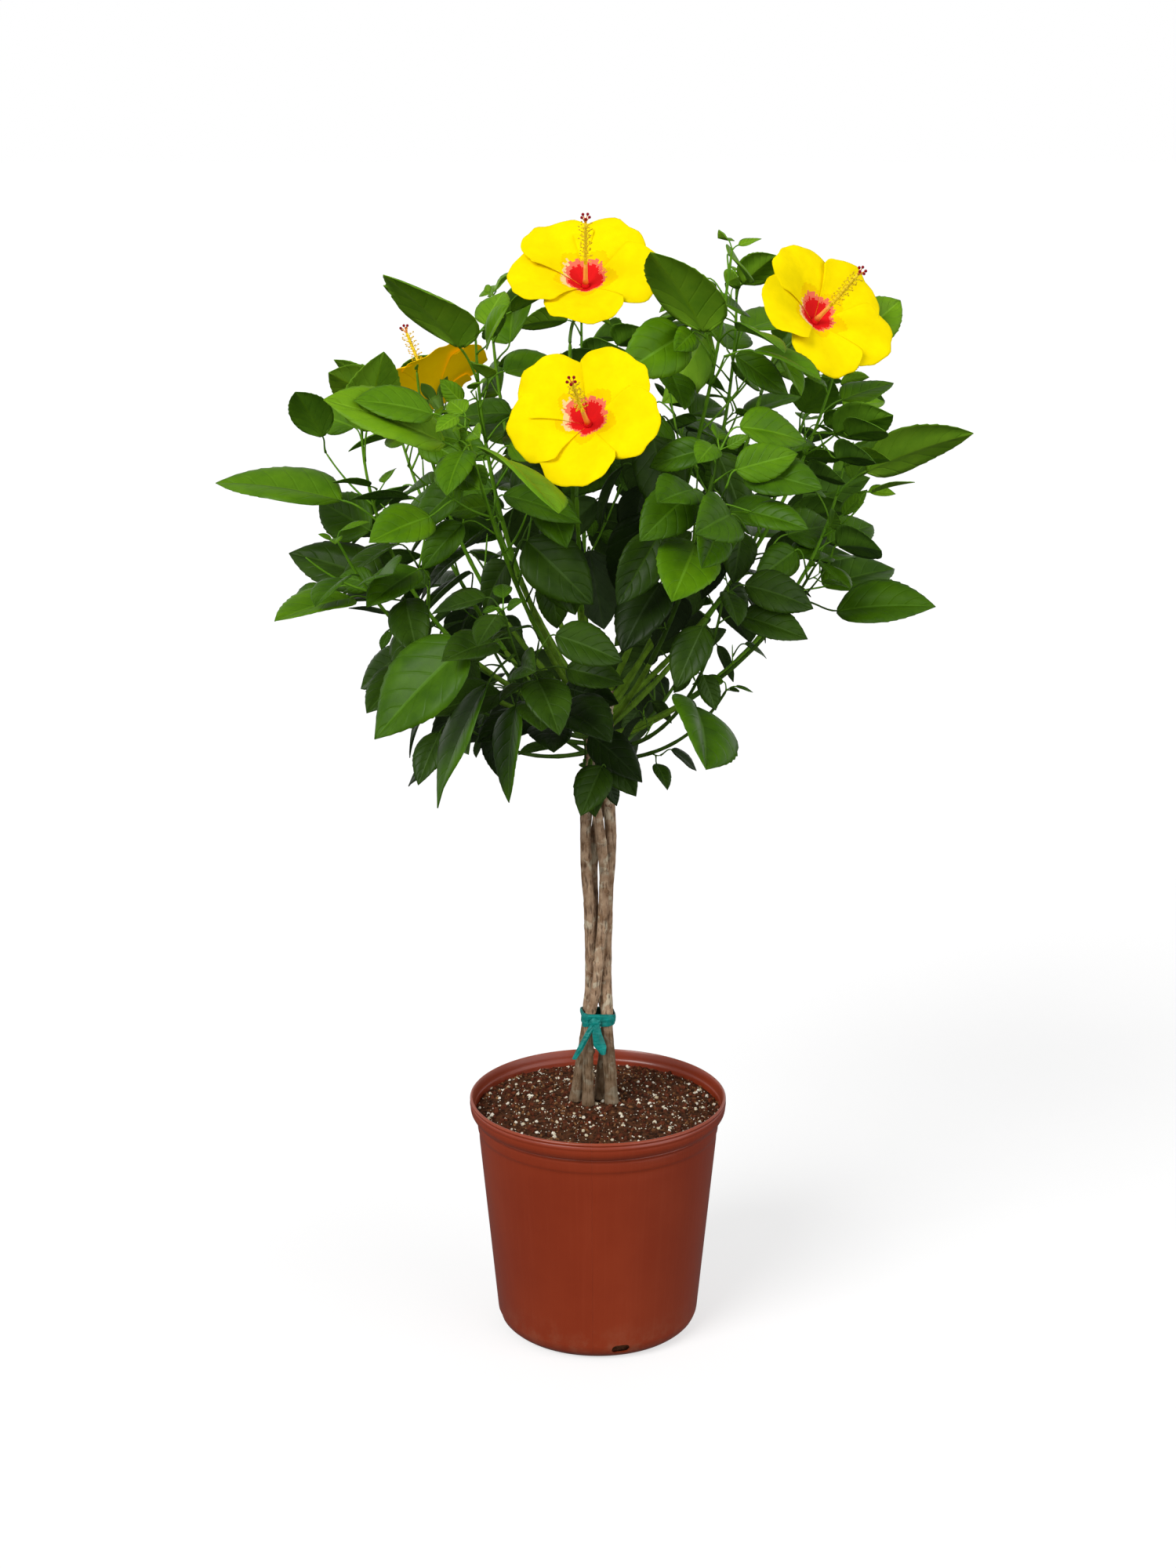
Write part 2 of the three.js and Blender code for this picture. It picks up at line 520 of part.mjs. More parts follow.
// One leafy shoot: leaves turn round the stem by the golden angle, and every second node
// bears a side twig with leaves of its own. A leaf that would leave the shoot's space or
// touch a limb is turned and shortened a few times, then skipped. Large leaves come first.
function grow(crown, i) {
  const row = crown.shoots[i];
  const stem = crown.stems[i];
  const reach = row.length * (1 - row.bare);
  const leaves = [];
  const twigs = [];
  const taken = [];
  const wood = stem.slice(1).map((p, k) => [stem[k], p]);
  let index = 0;

  const meetsOwn = (p) => taken.some((q) => size(add(p, q, -1)) < LEAF_APART)
    || wood.some(([a, b]) => apart(p, a, b) < WOOD_APART ** 2);

  const place = (leaf) => {
    const points = SAMPLES.map(([t, side]) => bladePoint(leaf, t, side));
    const stalkPoints = [mix(leaf.node, leaf.base, 0.4), mix(leaf.node, leaf.base, 0.75)];
    if (points.some((p) => meetsOwn(p)) || !isFree(crown, i, [...points, ...stalkPoints])) return false;
    taken.push(...points);
    leaves.push(leaf);
    return true;
  };

  const hold = ([share, az, pitch, roll, length]) => {
    const [node, forward] = along(stem, share * reach);
    const dir = heading(rad(az), rad(pitch));
    const base = add(node, unit(add(dir, forward, 0.4)), length * 0.34);
    const tilt = add([0, 0, 0.6], [node[0], node[1], 0], 0.6 / (Math.hypot(node[0], node[1]) + 40));
    const flat = unit(add(tilt, dir, -dot(tilt, dir)));
    const up = add([0, 0, 0], flat, Math.cos(rad(roll)));
    const normal = add(up, cross(dir, flat), Math.sin(rad(roll)));
    const [width, curl, fold] = [length * 0.62, rad(14), rad(12)];
    const age = row.young * share;
    place({ node, base, dir, normal, length, width, curl, fold, age, order: 0, number: 0 });
  };

  const bear = (node, forward, turn, length, age, order) => {
    index += 1;
    const r = draws(row.seed, index);
    const [u, v] = across(forward);
    const width = 0.52 + 0.13 * r();
    const curl = rad(6 + 22 * r());
    const fold = rad(8 + 12 * r());
    const stalk = length * (0.26 + 0.22 * r());
    const lean = 0.4 + 0.5 * r();
    const out = add([0, 0, 0], [node[0], node[1], 0], 1 / (Math.hypot(node[0], node[1]) + 40));
    for (let attempt = 0; attempt < ATTEMPTS; attempt++) {
      const a = rad(turn + (r() - 0.5) * (50 + 45 * attempt));
      const side = add(add([0, 0, 0], u, Math.cos(a)), v, Math.sin(a));
      const base = add(node, unit(add(side, forward, lean)), stalk);
      const go = add(add(side, forward, 0.35), out, 0.5);
      const pitch = 12 + 28 * age - row.droop * (1 - age) + (r() - 0.5) * 44 - attempt * 4;
      const dir = heading(Math.atan2(go[1], go[0]), rad(Math.max(-82, pitch)));
      const outward = add([0, 0, 0.6], out, 0.6);
      const tilt = add(outward, [(r() - 0.5) * 0.7, (r() - 0.5) * 0.7, (r() - 0.5) * 0.4]);
      const normal = add(tilt, dir, -dot(tilt, dir));
      const fit = length * (1 - 0.05 * attempt);
      const leaf = {
        node, base, dir, normal: unit(normal), length: fit, width: fit * width, curl, fold, age, order,
        number: index,
      };
      if (size(normal) >= 0.15 && place(leaf)) return;
    }
  };

  const twigFrom = (node, forward, turn, length) => {
    const [u, v] = across(forward);
    const a = rad(turn);
    let d = unit(add(add(add([0, 0, 0], u, Math.cos(a)), v, Math.sin(a)), forward, 0.9));
    const twig = [node];
    for (let k = 0; k < 4; k++) {
      d = unit(add(d, UP, 0.14));
      twig.push(add(twig[k], d, length / 4));
    }
    return twig;
  };

  row.large.forEach(hold);
  let turn = 0;
  let k = 0;
  for (let d = row.gap * 0.7; d < reach - 6; k++) {
    const [node, forward] = along(stem, d);
    const share = d / reach;
    const age = row.young * share;
    const r = draws(row.seed, 1000 + k);
    const length = row.leaf * (1 - 0.42 * share * share) * (0.84 + 0.32 * r());
    bear(node, forward, turn, length, age, 0);
    if (k % 2 === 1 && share < 0.75) {
      const bearing = turn + 180 + (r() - 0.5) * 60;
      const span = row.twig * (0.7 + 0.6 * r()) * (1 - 0.4 * share);
      const twig = twigFrom(node, forward, bearing, span);
      const middles = twig.slice(1).map((p, n) => mix(twig[n], p, 0.5));
      const clash = middles.some((p) => taken.some((q) => size(add(p, q, -1)) < LEAF_APART));
      if (!clash && isFree(crown, i, [...twig.slice(1), ...middles.slice(1)])) {
        twigs.push(twig);
        wood.push(...middles.map((_, n) => [twig[n], twig[n + 1]]));
        const count = Math.max(2, Math.round(span / 22));
        for (let n = 0; n < count; n++) {
          const [bud, way] = along(twig, span * (0.3 + 0.68 * n / (count - 1)));
          const [smaller, younger] = [0.95 - 0.25 * n / count, Math.min(1, age + 0.25 * n / count)];
          bear(bud, way, turn + 90 + n * GOLDEN, length * smaller, younger, 1);
        }
      }
    }
    turn += GOLDEN;
    d += row.gap * (1 - 0.3 * share);
  }
  const [tip, forward] = along(stem, reach - 2);
  for (let n = 0; n < 2; n++) {
    bear(tip, forward, turn + n * 150, row.leaf * (0.5 + 0.25 * n), row.young, END_LEAF);
  }
  return { leaves: leaves.filter((leaf) => !row.fallen.includes(leaf.number)), twigs };
}

// ---------------------------------------------------------------- blooms
// The stalk curves from the end of its shoot into the back of the bloom.
function stalkOf(bloom) {
  const path = pathOf(bloom);
  const [tip, forward] = along(path, bloom.length);
  const start = add(tip, forward, GAP);
  const set = add(start, forward, 4);
  const end = add(bloom.at, bloom.face, -BLOOM.depth - 10);
  const span = size(add(end, set, -1));
  const b = add(set, forward, span * 0.4);
  const c = add(end, bloom.face, -span * 0.4);
  const bend = new THREE.CubicBezierCurve3(...[set, b, c, end].map((p) => new THREE.Vector3(...p)));
  return [start, ...bend.getPoints(4).map((p) => p.toArray())];
}

// Five overlapping petals as one ruffled dish: rings from the throat to the notched rim.
function bloomOf(bloom) {
  const [u, v] = across(bloom.face);
  const point = (x, y, h) => add(add(add(bloom.at, u, x), v, y), bloom.face, h);
  const ring = (radius, h, sides) => Array.from({ length: sides }, (_, k) => {
    const a = 2 * Math.PI * k / sides;
    return point(radius * Math.cos(a), radius * Math.sin(a), h);
  });
  const spokes = 20;
  const shares = [0.15, 0.55, 1];
  const layer = (lift) => shares.flatMap((s) => Array.from({ length: spokes }, (_, k) => {
    const a = 2 * Math.PI * k / spokes;
    const off = Math.min(...bloom.petals.map((middle) => between(a * 180 / Math.PI, middle)));
    const lobe = 1 - BLOOM.notch * s * s * Math.min(1, off / 44) ** 2.6;
    const h = -BLOOM.depth * (1 - s) ** 2 + BLOOM.ruffle * s ** 3 * Math.cos(5 * a + 1);
    return point(bloom.radius * s * lobe * Math.cos(a), bloom.radius * s * lobe * Math.sin(a), h + lift);
  }));
  const count = shares.length * spokes;
  const eye = [point(0, 0, -BLOOM.depth), point(0, 0, -BLOOM.depth - BLOOM.thick)];
  const points = [...layer(0), ...layer(-BLOOM.thick), ...eye];
  const faces = [];
  for (let k = 0; k < spokes; k++) {
    const n = (k + 1) % spokes;
    faces.push([2 * count, k, n], [2 * count + 1, count + n, count + k]);
    for (let i = 0; i < shares.length - 1; i++) {
      const [a, b] = [i * spokes + k, i * spokes + n];
      const [c, d] = [b + spokes, a + spokes];
      faces.push([a, d, c], [a, c, b]);
      faces.push([count + a, count + c, count + d], [count + a, count + b, count + c]);
    }
    const rim = (shares.length - 1) * spokes;
    faces.push([rim + k, count + rim + k, count + rim + n], [rim + k, count + rim + n, rim + n]);
  }
  const calyx = skinOver([
    [2.2, -BLOOM.depth - 14], [6, -BLOOM.depth - 5], [8, -BLOOM.depth + 6],
  ].map(([r, h]) => ring(r, h, 6)));
  const column = skinOver([
    [2.4, -BLOOM.depth - 3], [1.9, 0], [1.6, BLOOM.column - 14], [3.4, BLOOM.column - 9],
    [3.6, BLOOM.column - 3], [1.4, BLOOM.column],
  ].map(([r, h]) => ring(r, h, 5)));
  const inner = add(bloom.at, bloom.face, -BLOOM.depth);
  const stalk = limb([...stalkOf(bloom), inner], BLOOM.stalk, BLOOM.stalk, 4);
  const parts = [shell(points, faces), calyx, column, stalk];
  return geometryOf(mainBody(wasm.Manifold.union(parts.map(solidOf))));
}

// ---------------------------------------------------------------- crown solids
const SOLID_LEAF = 69;              // shorter leaves are left out of the solids, end leaves apart
const LEAF_THICK = 1.5;

// One leaf with its stalk: a three-sided stalk from the twig's middle and a lens-shaped blade.
function leafOf(leaf) {
  const stalk = unit(add(leaf.base, leaf.node, -1));
  const side = cross(leaf.dir, leaf.normal);
  const ring = (at, forward, r) => {
    const e = unit(add(side, forward, -dot(side, forward)));
    const up = cross(e, forward);
    return [add(add(at, e, -r), up, r * 0.5), add(add(at, e, r), up, r * 0.5), add(at, up, -r)];
  };
  const thick = Math.max(LEAF_THICK, leaf.length * 0.018);
  const points = [
    ...ring(leaf.node, stalk, 0.4),
    ...ring(leaf.base, unit(add(stalk, leaf.dir)), 1),
    bladePoint(leaf, 0.28, 1), bladePoint(leaf, 0.66, 1), bladePoint(leaf, 1, 0),
    bladePoint(leaf, 0.66, -1), bladePoint(leaf, 0.28, -1),
    bladePoint(leaf, 0.4, 0, thick / 2), bladePoint(leaf, 0.4, 0, -thick / 2),
  ];
  const [a0, b0, c0, a, b, c, r1, r2, tip, l2, l1, top, under] = points.keys();
  const rim = [b, r1, r2, tip, l2, l1, a];
  const faces = [[top, a, b], [under, c, a], [under, b, c], [a0, c0, b0]];
  for (let i = 1; i < rim.length; i++) {
    faces.push([top, rim[i - 1], rim[i]], [under, rim[i], rim[i - 1]]);
  }
  for (const [p, q, p0, q0] of [[b, a, b0, a0], [a, c, a0, c0], [c, b, c0, b0]]) {
    faces.push([p, q, q0], [p, q0, p0]);
  }
  return shell(points, faces);
}

const every = rooted([
  ...SHOOTS.map((row) => ({ ...SHOOT, ...row })),
  ...BLOOMS.map((row) => ({ ...row, face: unit(row.face) })),
]);
const crown = crownOf(every.slice(0, SHOOTS.length), every.slice(SHOOTS.length));
const stemsGrown = STRAND_RADII.map((_, k) => solidOf(strand(k, GAP)));

crown.shoots.forEach((row, i) => {
  const path = pathOf(row);
  const { leaves, twigs } = grow(crown, i);
  const parts = [
    limb(crown.stems[i], 2.3, 1.2, 4),
    ...twigs.map((twig) => limb(twig, 1.1, 0.9, 3)),
    ...leaves.filter((leaf) => leaf.length > SOLID_LEAF || leaf.order === END_LEAF).map(leafOf),
  ];
  let mass = wasm.Manifold.union(parts.map(solidOf));
  if (row.bare > 0) {
    const bough = solidOf(limb(upTo(path, row.bare * row.length), 3, 2.2, 5));
    const cut = mainBody(bough.subtract(stemsGrown[row.stem]));
    place(`bough_${row.name}`, geometryOf(cut), COLOURS.bough);
  } else {
    mass = mass.subtract(stemsGrown[row.stem]);
  }
  place(`foliage_${row.name}`, geometryOf(mainBody(mass)), COLOURS.leaf);
});

crown.blooms.forEach((row) => {
  const bough = solidOf(limb(pathOf(row), 2.8, 1.7, 4)).subtract(stemsGrown[row.stem]);
  place(`bough_bloom_${row.name}`, geometryOf(mainBody(bough)), COLOURS.bough);
  place(`bloom_${row.name}`, bloomOf(row), COLOURS.petal);
});

export default group;
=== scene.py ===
import math

import bpy
import mathutils
import numpy as np
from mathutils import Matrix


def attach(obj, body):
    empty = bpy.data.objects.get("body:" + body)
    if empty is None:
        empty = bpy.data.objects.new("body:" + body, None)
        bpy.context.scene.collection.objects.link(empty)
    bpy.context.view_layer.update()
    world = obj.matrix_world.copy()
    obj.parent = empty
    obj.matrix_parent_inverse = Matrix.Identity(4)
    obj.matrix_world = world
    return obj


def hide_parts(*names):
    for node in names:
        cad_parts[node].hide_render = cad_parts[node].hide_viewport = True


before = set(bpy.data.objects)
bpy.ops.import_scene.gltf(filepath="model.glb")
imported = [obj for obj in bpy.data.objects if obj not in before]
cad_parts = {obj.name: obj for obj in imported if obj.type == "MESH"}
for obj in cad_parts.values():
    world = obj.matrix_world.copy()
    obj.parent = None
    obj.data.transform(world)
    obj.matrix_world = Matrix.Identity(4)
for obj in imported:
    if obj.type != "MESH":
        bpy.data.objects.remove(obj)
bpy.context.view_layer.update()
BODY = "root"

# ---------------------------------------------------------------- nursery pot
# A pot moulded in one piece from red-brown polypropylene: a tapered wall under a short rim
# band with a thin lip, and drain slots cut through the foot of the wall.
POT_SIDES = 160
POT_OUTSIDE = [
    (0, 0.4), (70, 0.4), (74, 0), (83, 0), (91, 2.5), (97, 8), (100, 15), (117.4, 197), (117.8, 206),
    (119.0, 208.4), (119.5, 216.4), (119.3, 218.6), (120.0, 219.8), (120.0, 221.0), (119.0, 221.8),
    (119.2, 222.5), (122.9, 222.6), (123.6, 223.4), (125.6, 227), (126.2, 230.4), (126.1, 233),
    (126.7, 234.4), (126.3, 236.6), (125.8, 237.4), (126.6, 238.4), (126.4, 240), (125.2, 240.9),
    (124.2, 240.7),
]
POT_INSIDE = [
    (123.4, 239.4), (122.2, 231), (121.2, 229.8), (120.6, 225), (118.6, 221.6), (116.8, 219.5),
    (115.1, 197), (97.7, 15), (94.6, 9), (89, 5), (82, 3), (0, 3),
]
CORNER = {"share": 0.35, "longest": 2.5, "steps": 3}
# the slots' sizes are in metres, as the tree that punches them takes them
DRAIN_SLOTS = {"Count": 4, "First Angle": math.radians(283), "Wall Radius": 0.098, "Slot Width": 0.018,
               "Slot Height": 0.0095, "Slot Z": 0.013}
PUNCH_LENGTH = 0.026
SEAM_BEARING = 93


def mesh_object(name, points, faces, finishes, spots=None, uv=None):
    """A mesh from points in millimetres and faces of one size, each with a finish number."""
    mesh = bpy.data.meshes.new(name)
    faces = np.asarray(faces, dtype=np.int32)
    count, corners = faces.shape
    mesh.vertices.add(len(points))
    mesh.vertices.foreach_set("co", (np.asarray(points, dtype=np.float64) * 0.001).ravel())
    mesh.loops.add(count * corners)
    mesh.loops.foreach_set("vertex_index", faces.ravel())
    mesh.polygons.add(count)
    mesh.polygons.foreach_set("loop_start", np.arange(0, count * corners, corners, dtype=np.int32))
    for finish in finishes:
        mesh.materials.append(finish)
    if spots is not None:
        mesh.polygons.foreach_set("material_index", np.asarray(spots, dtype=np.int32))
    mesh.polygons.foreach_set("use_smooth", np.full(count, True))
    for label, places in (uv or {}).items():
        layer = mesh.uv_layers.new(name=label)
        layer.data.foreach_set("uv", np.asarray(places, dtype=np.float64)[faces].ravel())
    mesh.update(calc_edges=True)
    mesh.validate()
    made = bpy.data.objects.new(name, mesh)
    bpy.context.scene.collection.objects.link(made)
    return made


def rounded(profile):
    """The profile with each inner corner turned into a short curve."""
    out = [profile[0]]
    for before, corner, after in zip(profile, profile[1:], profile[2:]):
        before, corner, after = np.array(before), np.array(corner), np.array(after)
        cut = [min(CORNER["share"], CORNER["longest"] / np.linalg.norm(far - corner))
               for far in (before, after)]
        start = corner + (before - corner) * cut[0]
        end = corner + (after - corner) * cut[1]
        for t in np.linspace(0, 1, CORNER["steps"]):
            out.append(tuple((1 - t) ** 2 * start + 2 * t * (1 - t) * corner + t * t * end))
    return out + [profile[-1]]


def turned(name, profile, sides, finish):
    """A closed body turned about the upright axis, its profile starting and ending on it."""
    rings = np.array(profile[1:-1])
    angle = 2 * math.pi * np.arange(sides) / sides
    points = np.stack([
        np.outer(rings[:, 0], np.cos(angle)), np.outer(rings[:, 0], np.sin(angle)),
        np.repeat(rings[:, 1:], sides, axis=1),
    ], axis=2).reshape(-1, 3)
    low, high = len(points), len(points) + 1
    points = np.vstack([points, [0, 0, profile[0][1]], [0, 0, profile[-1][1]]])
    k = np.arange(sides)
    n = (k + 1) % sides
    quads = []
    for i in range(len(rings) - 1):
        a, b = i * sides, (i + 1) * sides
        quads += [np.stack([a + k, a + n, b + n], axis=1), np.stack([a + k, b + n, b + k], axis=1)]
    last = (len(rings) - 1) * sides
    quads += [np.stack([n, k, np.full(sides, low)], axis=1),
              np.stack([last + k, last + n, np.full(sides, high)], axis=1)]
    return mesh_object(name, points, np.vstack(quads), [finish])


def put(tree, kind, inputs=None, **settings):
    """A node with its settings, and its inputs by name or number: a value or another's output."""
    made = tree.nodes.new(kind)
    for key, value in settings.items():
        setattr(made, key, value)
    for key, value in (inputs or {}).items():
        if isinstance(value, bpy.types.NodeSocket):
            tree.links.new(value, made.inputs[key])
        else:
            made.inputs[key].default_value = value
    return made


def maths(tree, operation, *values):
    return put(tree, "ShaderNodeMath", dict(enumerate(values)), operation=operation).outputs[0]


def noise(tree, vector, scale, detail, **more):
    """The grey of a cloudy noise."""
    inputs = {"Vector": vector, "Scale": scale, "Detail": detail, **more}
    return put(tree, "ShaderNodeTexNoise", inputs).outputs[0]


def mask(tree, value, none, full, **settings):
    """0 where the value is at the first number, 1 where it is at the second."""
    inputs = {"Value": value, "From Min": none, "From Max": full}
    return put(tree, "ShaderNodeMapRange", inputs, **settings).outputs[0]


def laid_over(tree, under, over, where, most):
    """A colour over another where the mask says, never more than the given share of it."""
    share = maths(tree, "MULTIPLY", where, most)
    return put(tree, "ShaderNodeMix", {0: share, 6: under, 7: over}, data_type="RGBA").outputs[2]


def split(tree, vector):
    return put(tree, "ShaderNodeSeparateXYZ", {0: vector}).outputs


def relieve(tree, shader, under, height, distance, strength=1.0):
    """A further relief on a shader, over the bump it has, of that depth in metres."""
    over = put(tree, "ShaderNodeBump", {"Height": height, "Distance": distance, "Strength": strength,
                                        "Normal": under.outputs[0]})
    tree.links.new(over.outputs[0], shader.inputs["Normal"])


def surface(name, **plain):
    """A new material: its tree, its shader with the plain numbers set, and its own coordinates."""
    made = bpy.data.materials.new(name)
    made.use_nodes = True
    tree = made.node_tree
    shader = tree.nodes["Principled BSDF"]
    for key, value in plain.items():
        shader.inputs[key.replace("_", " ")].default_value = value
    return made, tree, shader, put(tree, "ShaderNodeTexCoord").outputs["Object"]


def shader_group(name, inputs, outputs):
    """An empty shader node group with named sockets: the tree, its input node, its output node."""
    group = bpy.data.node_groups.new(name, "ShaderNodeTree")
    for key, (kind, value) in inputs.items():
        socket = group.interface.new_socket(key, in_out="INPUT", socket_type="NodeSocket" + kind)
        if value is not None:
            socket.default_value = value
    for key, kind in outputs.items():
        group.interface.new_socket(key, in_out="OUTPUT", socket_type="NodeSocket" + kind)
    return group, group.nodes.new("NodeGroupInput"), group.nodes.new("NodeGroupOutput")


def colour(red, green, blue):
    """A shader colour from the 0 to 255 values of a colour chip."""
    def linear(value):
        value /= 255
        return value / 12.92 if value <= 0.04045 else ((value + 0.055) / 1.055) ** 2.4
    return (linear(red), linear(green), linear(blue), 1)


# mottled: two tones of one colour in soft patches, with a fine relief and an uneven gloss
mottled, mottled_in, mottled_out = shader_group(
    "mottled finish",
    {"Vector": ("Vector", None), "Light": ("Color", (0.8, 0.8, 0.8, 1)),
     "Dark": ("Color", (0.2, 0.2, 0.2, 1)), "Patch Scale": ("Float", 20), "Fine Scale": ("Float", 600),
     "Gloss": ("Float", 0.5), "Gloss Spread": ("Float", 0.1)},
    {"Color": "Color", "Roughness": "Float", "Height": "Float"})
socket = mottled_in.outputs
patches = noise(mottled, socket["Vector"], socket["Patch Scale"], 4, Roughness=0.6)
fine = noise(mottled, socket["Vector"], socket["Fine Scale"], 2)
tones = put(mottled, "ShaderNodeMix", {
    0: mask(mottled, patches, 0.35, 0.65), 6: socket["Dark"], 7: socket["Light"]}, data_type="RGBA")
shift = maths(mottled, "MULTIPLY", maths(mottled, "SUBTRACT", patches, 0.5), socket["Gloss Spread"])
mottled.links.new(tones.outputs[2], mottled_out.inputs["Color"])
mottled.links.new(maths(mottled, "ADD", socket["Gloss"], shift), mottled_out.inputs["Roughness"])
mottled.links.new(fine, mottled_out.inputs["Height"])


def mottle(tree, shader, vector, light, dark, patch, fine_scale, gloss, gloss_spread, relief):
    """Put the mottled finish on a shader, with the relief as a bump of that depth in metres."""
    group = put(tree, "ShaderNodeGroup", node_tree=mottled)
    for key, value in {"Light": light, "Dark": dark, "Patch Scale": patch, "Fine Scale": fine_scale,
                       "Gloss": gloss, "Gloss Spread": gloss_spread}.items():
        group.inputs[key].default_value = value
    tree.links.new(vector, group.inputs["Vector"])
    bump = put(tree, "ShaderNodeBump", {"Height": group.outputs["Height"], "Distance": relief, "Strength": 1})
    tree.links.new(group.outputs["Color"], shader.inputs["Base Color"])
    tree.links.new(group.outputs["Roughness"], shader.inputs["Roughness"])
    tree.links.new(bump.outputs[0], shader.inputs["Normal"])
    return group, bump


def plain_surface(name, spec, *look):
    """A material of one mottled finish and no more."""
    made, tree, shader, place = surface(name, Specular_IOR_Level=spec)
    mottle(tree, shader, place, *look)
    return made


# streaks: a fine relief drawn out one way, for grain and creases
streaks, streaks_in, streaks_out = shader_group(
    "streaks", {"Vector": ("Vector", None), "Stretch": ("Vector", (1, 1, 1)), "Scale": ("Float", 500),
                "Detail": ("Float", 3)}, {"Height": "Float"})
drawn_out = put(streaks, "ShaderNodeMapping", {"Vector": streaks_in.outputs["Vector"],
                                               "Scale": streaks_in.outputs["Stretch"]}).outputs[0]
drawn_out = noise(streaks, drawn_out, streaks_in.outputs["Scale"], streaks_in.outputs["Detail"])
streaks.links.new(drawn_out, streaks_out.inputs["Height"])


def streak(tree, vector, stretch, scale, detail):
    """The height of a streaked relief."""
    group = put(tree, "ShaderNodeGroup", node_tree=streaks)
    for key, value in {"Stretch": stretch, "Scale": scale, "Detail": detail}.items():
        group.inputs[key].default_value = value
    tree.links.new(vector, group.inputs["Vector"])
    return group.outputs["Height"]


# moulded plastic: flow lines run down the wall, dust gathers low, and the lip's top is painted paler as a
# painted highlight
pot_plastic, tree, shader, place = surface("pot plastic", Specular_IOR_Level=0.35, Coat_Weight=0.3,
                                           Coat_Roughness=0.25)
group, bump = mottle(tree, shader, place, colour(141, 52, 23), colour(131, 45, 19), 7, 900, 0.36, 0.2,
                     0.00004)
x, y, z = split(tree, place)
angle = maths(tree, "ARCTAN2", y, x)
round_wall = put(tree, "ShaderNodeCombineXYZ", {0: maths(tree, "MULTIPLY", angle, 14),
                                                2: maths(tree, "MULTIPLY", z, 3)})
flow = noise(tree, round_wall.outputs[0], 1.6, 5, Roughness=0.7)
streaked = laid_over(tree, group.outputs["Color"], colour(158, 70, 44), mask(tree, flow, 0.5, 0.75), 0.16)
dust = noise(tree, place, 55, 6, Roughness=0.75)
dusty = maths(tree, "MULTIPLY", mask(tree, z, 0.045, 0.0), mask(tree, dust, 0.45, 0.8))
dulled = laid_over(tree, streaked, colour(150, 110, 85), dusty, 0.6)
# painted highlight: the top of the lip is painted paler
lip_painted_highlight = laid_over(tree, dulled, colour(176, 96, 66), mask(tree, z, 0.2385, 0.2412), 0.3)
tree.links.new(lip_painted_highlight, shader.inputs["Base Color"])
seams = maths(tree, "ABSOLUTE", maths(tree, "SINE", maths(tree, "ADD", angle, math.radians(SEAM_BEARING))))
seam = mask(tree, seams, 0.004, 0.0)
height = maths(tree, "ADD", maths(tree, "MULTIPLY", flow, 0.6), maths(tree, "MULTIPLY", seam, 1.5))
relieve(tree, shader, bump, height, 0.0003, 0.6)


def geometry_tree(name, inputs):
    """An empty geometry tree with a mesh in, a mesh out and named number inputs."""
    tree = bpy.data.node_groups.new(name, "GeometryNodeTree")
    tree.interface.new_socket("Geometry", in_out="INPUT", socket_type="NodeSocketGeometry")
    tree.interface.new_socket("Geometry", in_out="OUTPUT", socket_type="NodeSocketGeometry")
    for key, value in inputs.items():
        kind = "NodeSocketInt" if isinstance(value, int) else "NodeSocketFloat"
        tree.interface.new_socket(key, in_out="INPUT", socket_type=kind).default_value = value
    return tree, tree.nodes.new("NodeGroupInput").outputs, tree.nodes.new("NodeGroupOutput")


def grown(piece, name, tree, sizes):
    """The piece's mesh as the tree makes it, in a new plain piece; the old one is removed."""
    modifier = piece.modifiers.new(name, "NODES")
    modifier.node_group = tree
    for item in tree.interface.items_tree:
        if item.in_out == "INPUT" and item.name in sizes:
            modifier[item.identifier] = sizes[item.name]
    seen = piece.evaluated_get(bpy.context.evaluated_depsgraph_get())
    mesh = bpy.data.meshes.new_from_object(seen)
    piece.modifiers.remove(modifier)
    bpy.data.objects.remove(piece)
    mesh.name = name
    made = bpy.data.objects.new(name, mesh)
    bpy.context.scene.collection.objects.link(made)
    return made


# drain slots: a ring of round-ended punches is taken out of the wall
punch, size, done = geometry_tree("drain slots", DRAIN_SLOTS)
outline = put(punch, "GeometryNodeCurvePrimitiveQuadrilateral", {"Width": size["Slot Width"],
                                                                 "Height": size["Slot Height"]})
outline = put(punch, "GeometryNodeFilletCurve", {
    "Curve": outline.outputs[0], "Count": 6, "Radius": maths(punch, "MULTIPLY", size["Slot Height"], 0.48),
}, mode="POLY")
inner_face = put(punch, "GeometryNodeFillCurve", {"Curve": outline.outputs[0]}, mode="NGONS").outputs[0]
outer = put(punch, "GeometryNodeExtrudeMesh", {"Mesh": inner_face, "Offset": (0, 0, 1),
                                               "Offset Scale": PUNCH_LENGTH, "Individual": False})
closed = put(punch, "GeometryNodeJoinGeometry")
punch.links.new(outer.outputs[0], closed.inputs[0])
punch.links.new(put(punch, "GeometryNodeFlipFaces", {"Mesh": inner_face}).outputs[0], closed.inputs[0])
closed = put(punch, "GeometryNodeMergeByDistance", {"Geometry": closed.outputs[0]}).outputs[0]
closed = put(punch, "GeometryNodeTransform", {
    "Geometry": closed, "Translation": (0, 0, -PUNCH_LENGTH / 2)}).outputs[0]
closed = put(punch, "GeometryNodeTransform", {
    "Geometry": closed, "Rotation": (math.pi / 2, 0, 0)}).outputs[0]
ring = put(punch, "GeometryNodeMeshCircle", {
    "Vertices": size["Count"], "Radius": size["Wall Radius"]}).outputs[0]
step = maths(punch, "DIVIDE", 2 * math.pi, size["Count"])
bearing = maths(punch, "MULTIPLY", put(punch, "GeometryNodeInputIndex").outputs[0], step)
turned_by = put(punch, "ShaderNodeCombineXYZ", {2: maths(punch, "ADD", bearing, math.pi / 2)})
ring = put(punch, "GeometryNodeInstanceOnPoints", {"Points": ring, "Instance": closed,
                                                   "Rotation": turned_by.outputs[0]}).outputs[0]
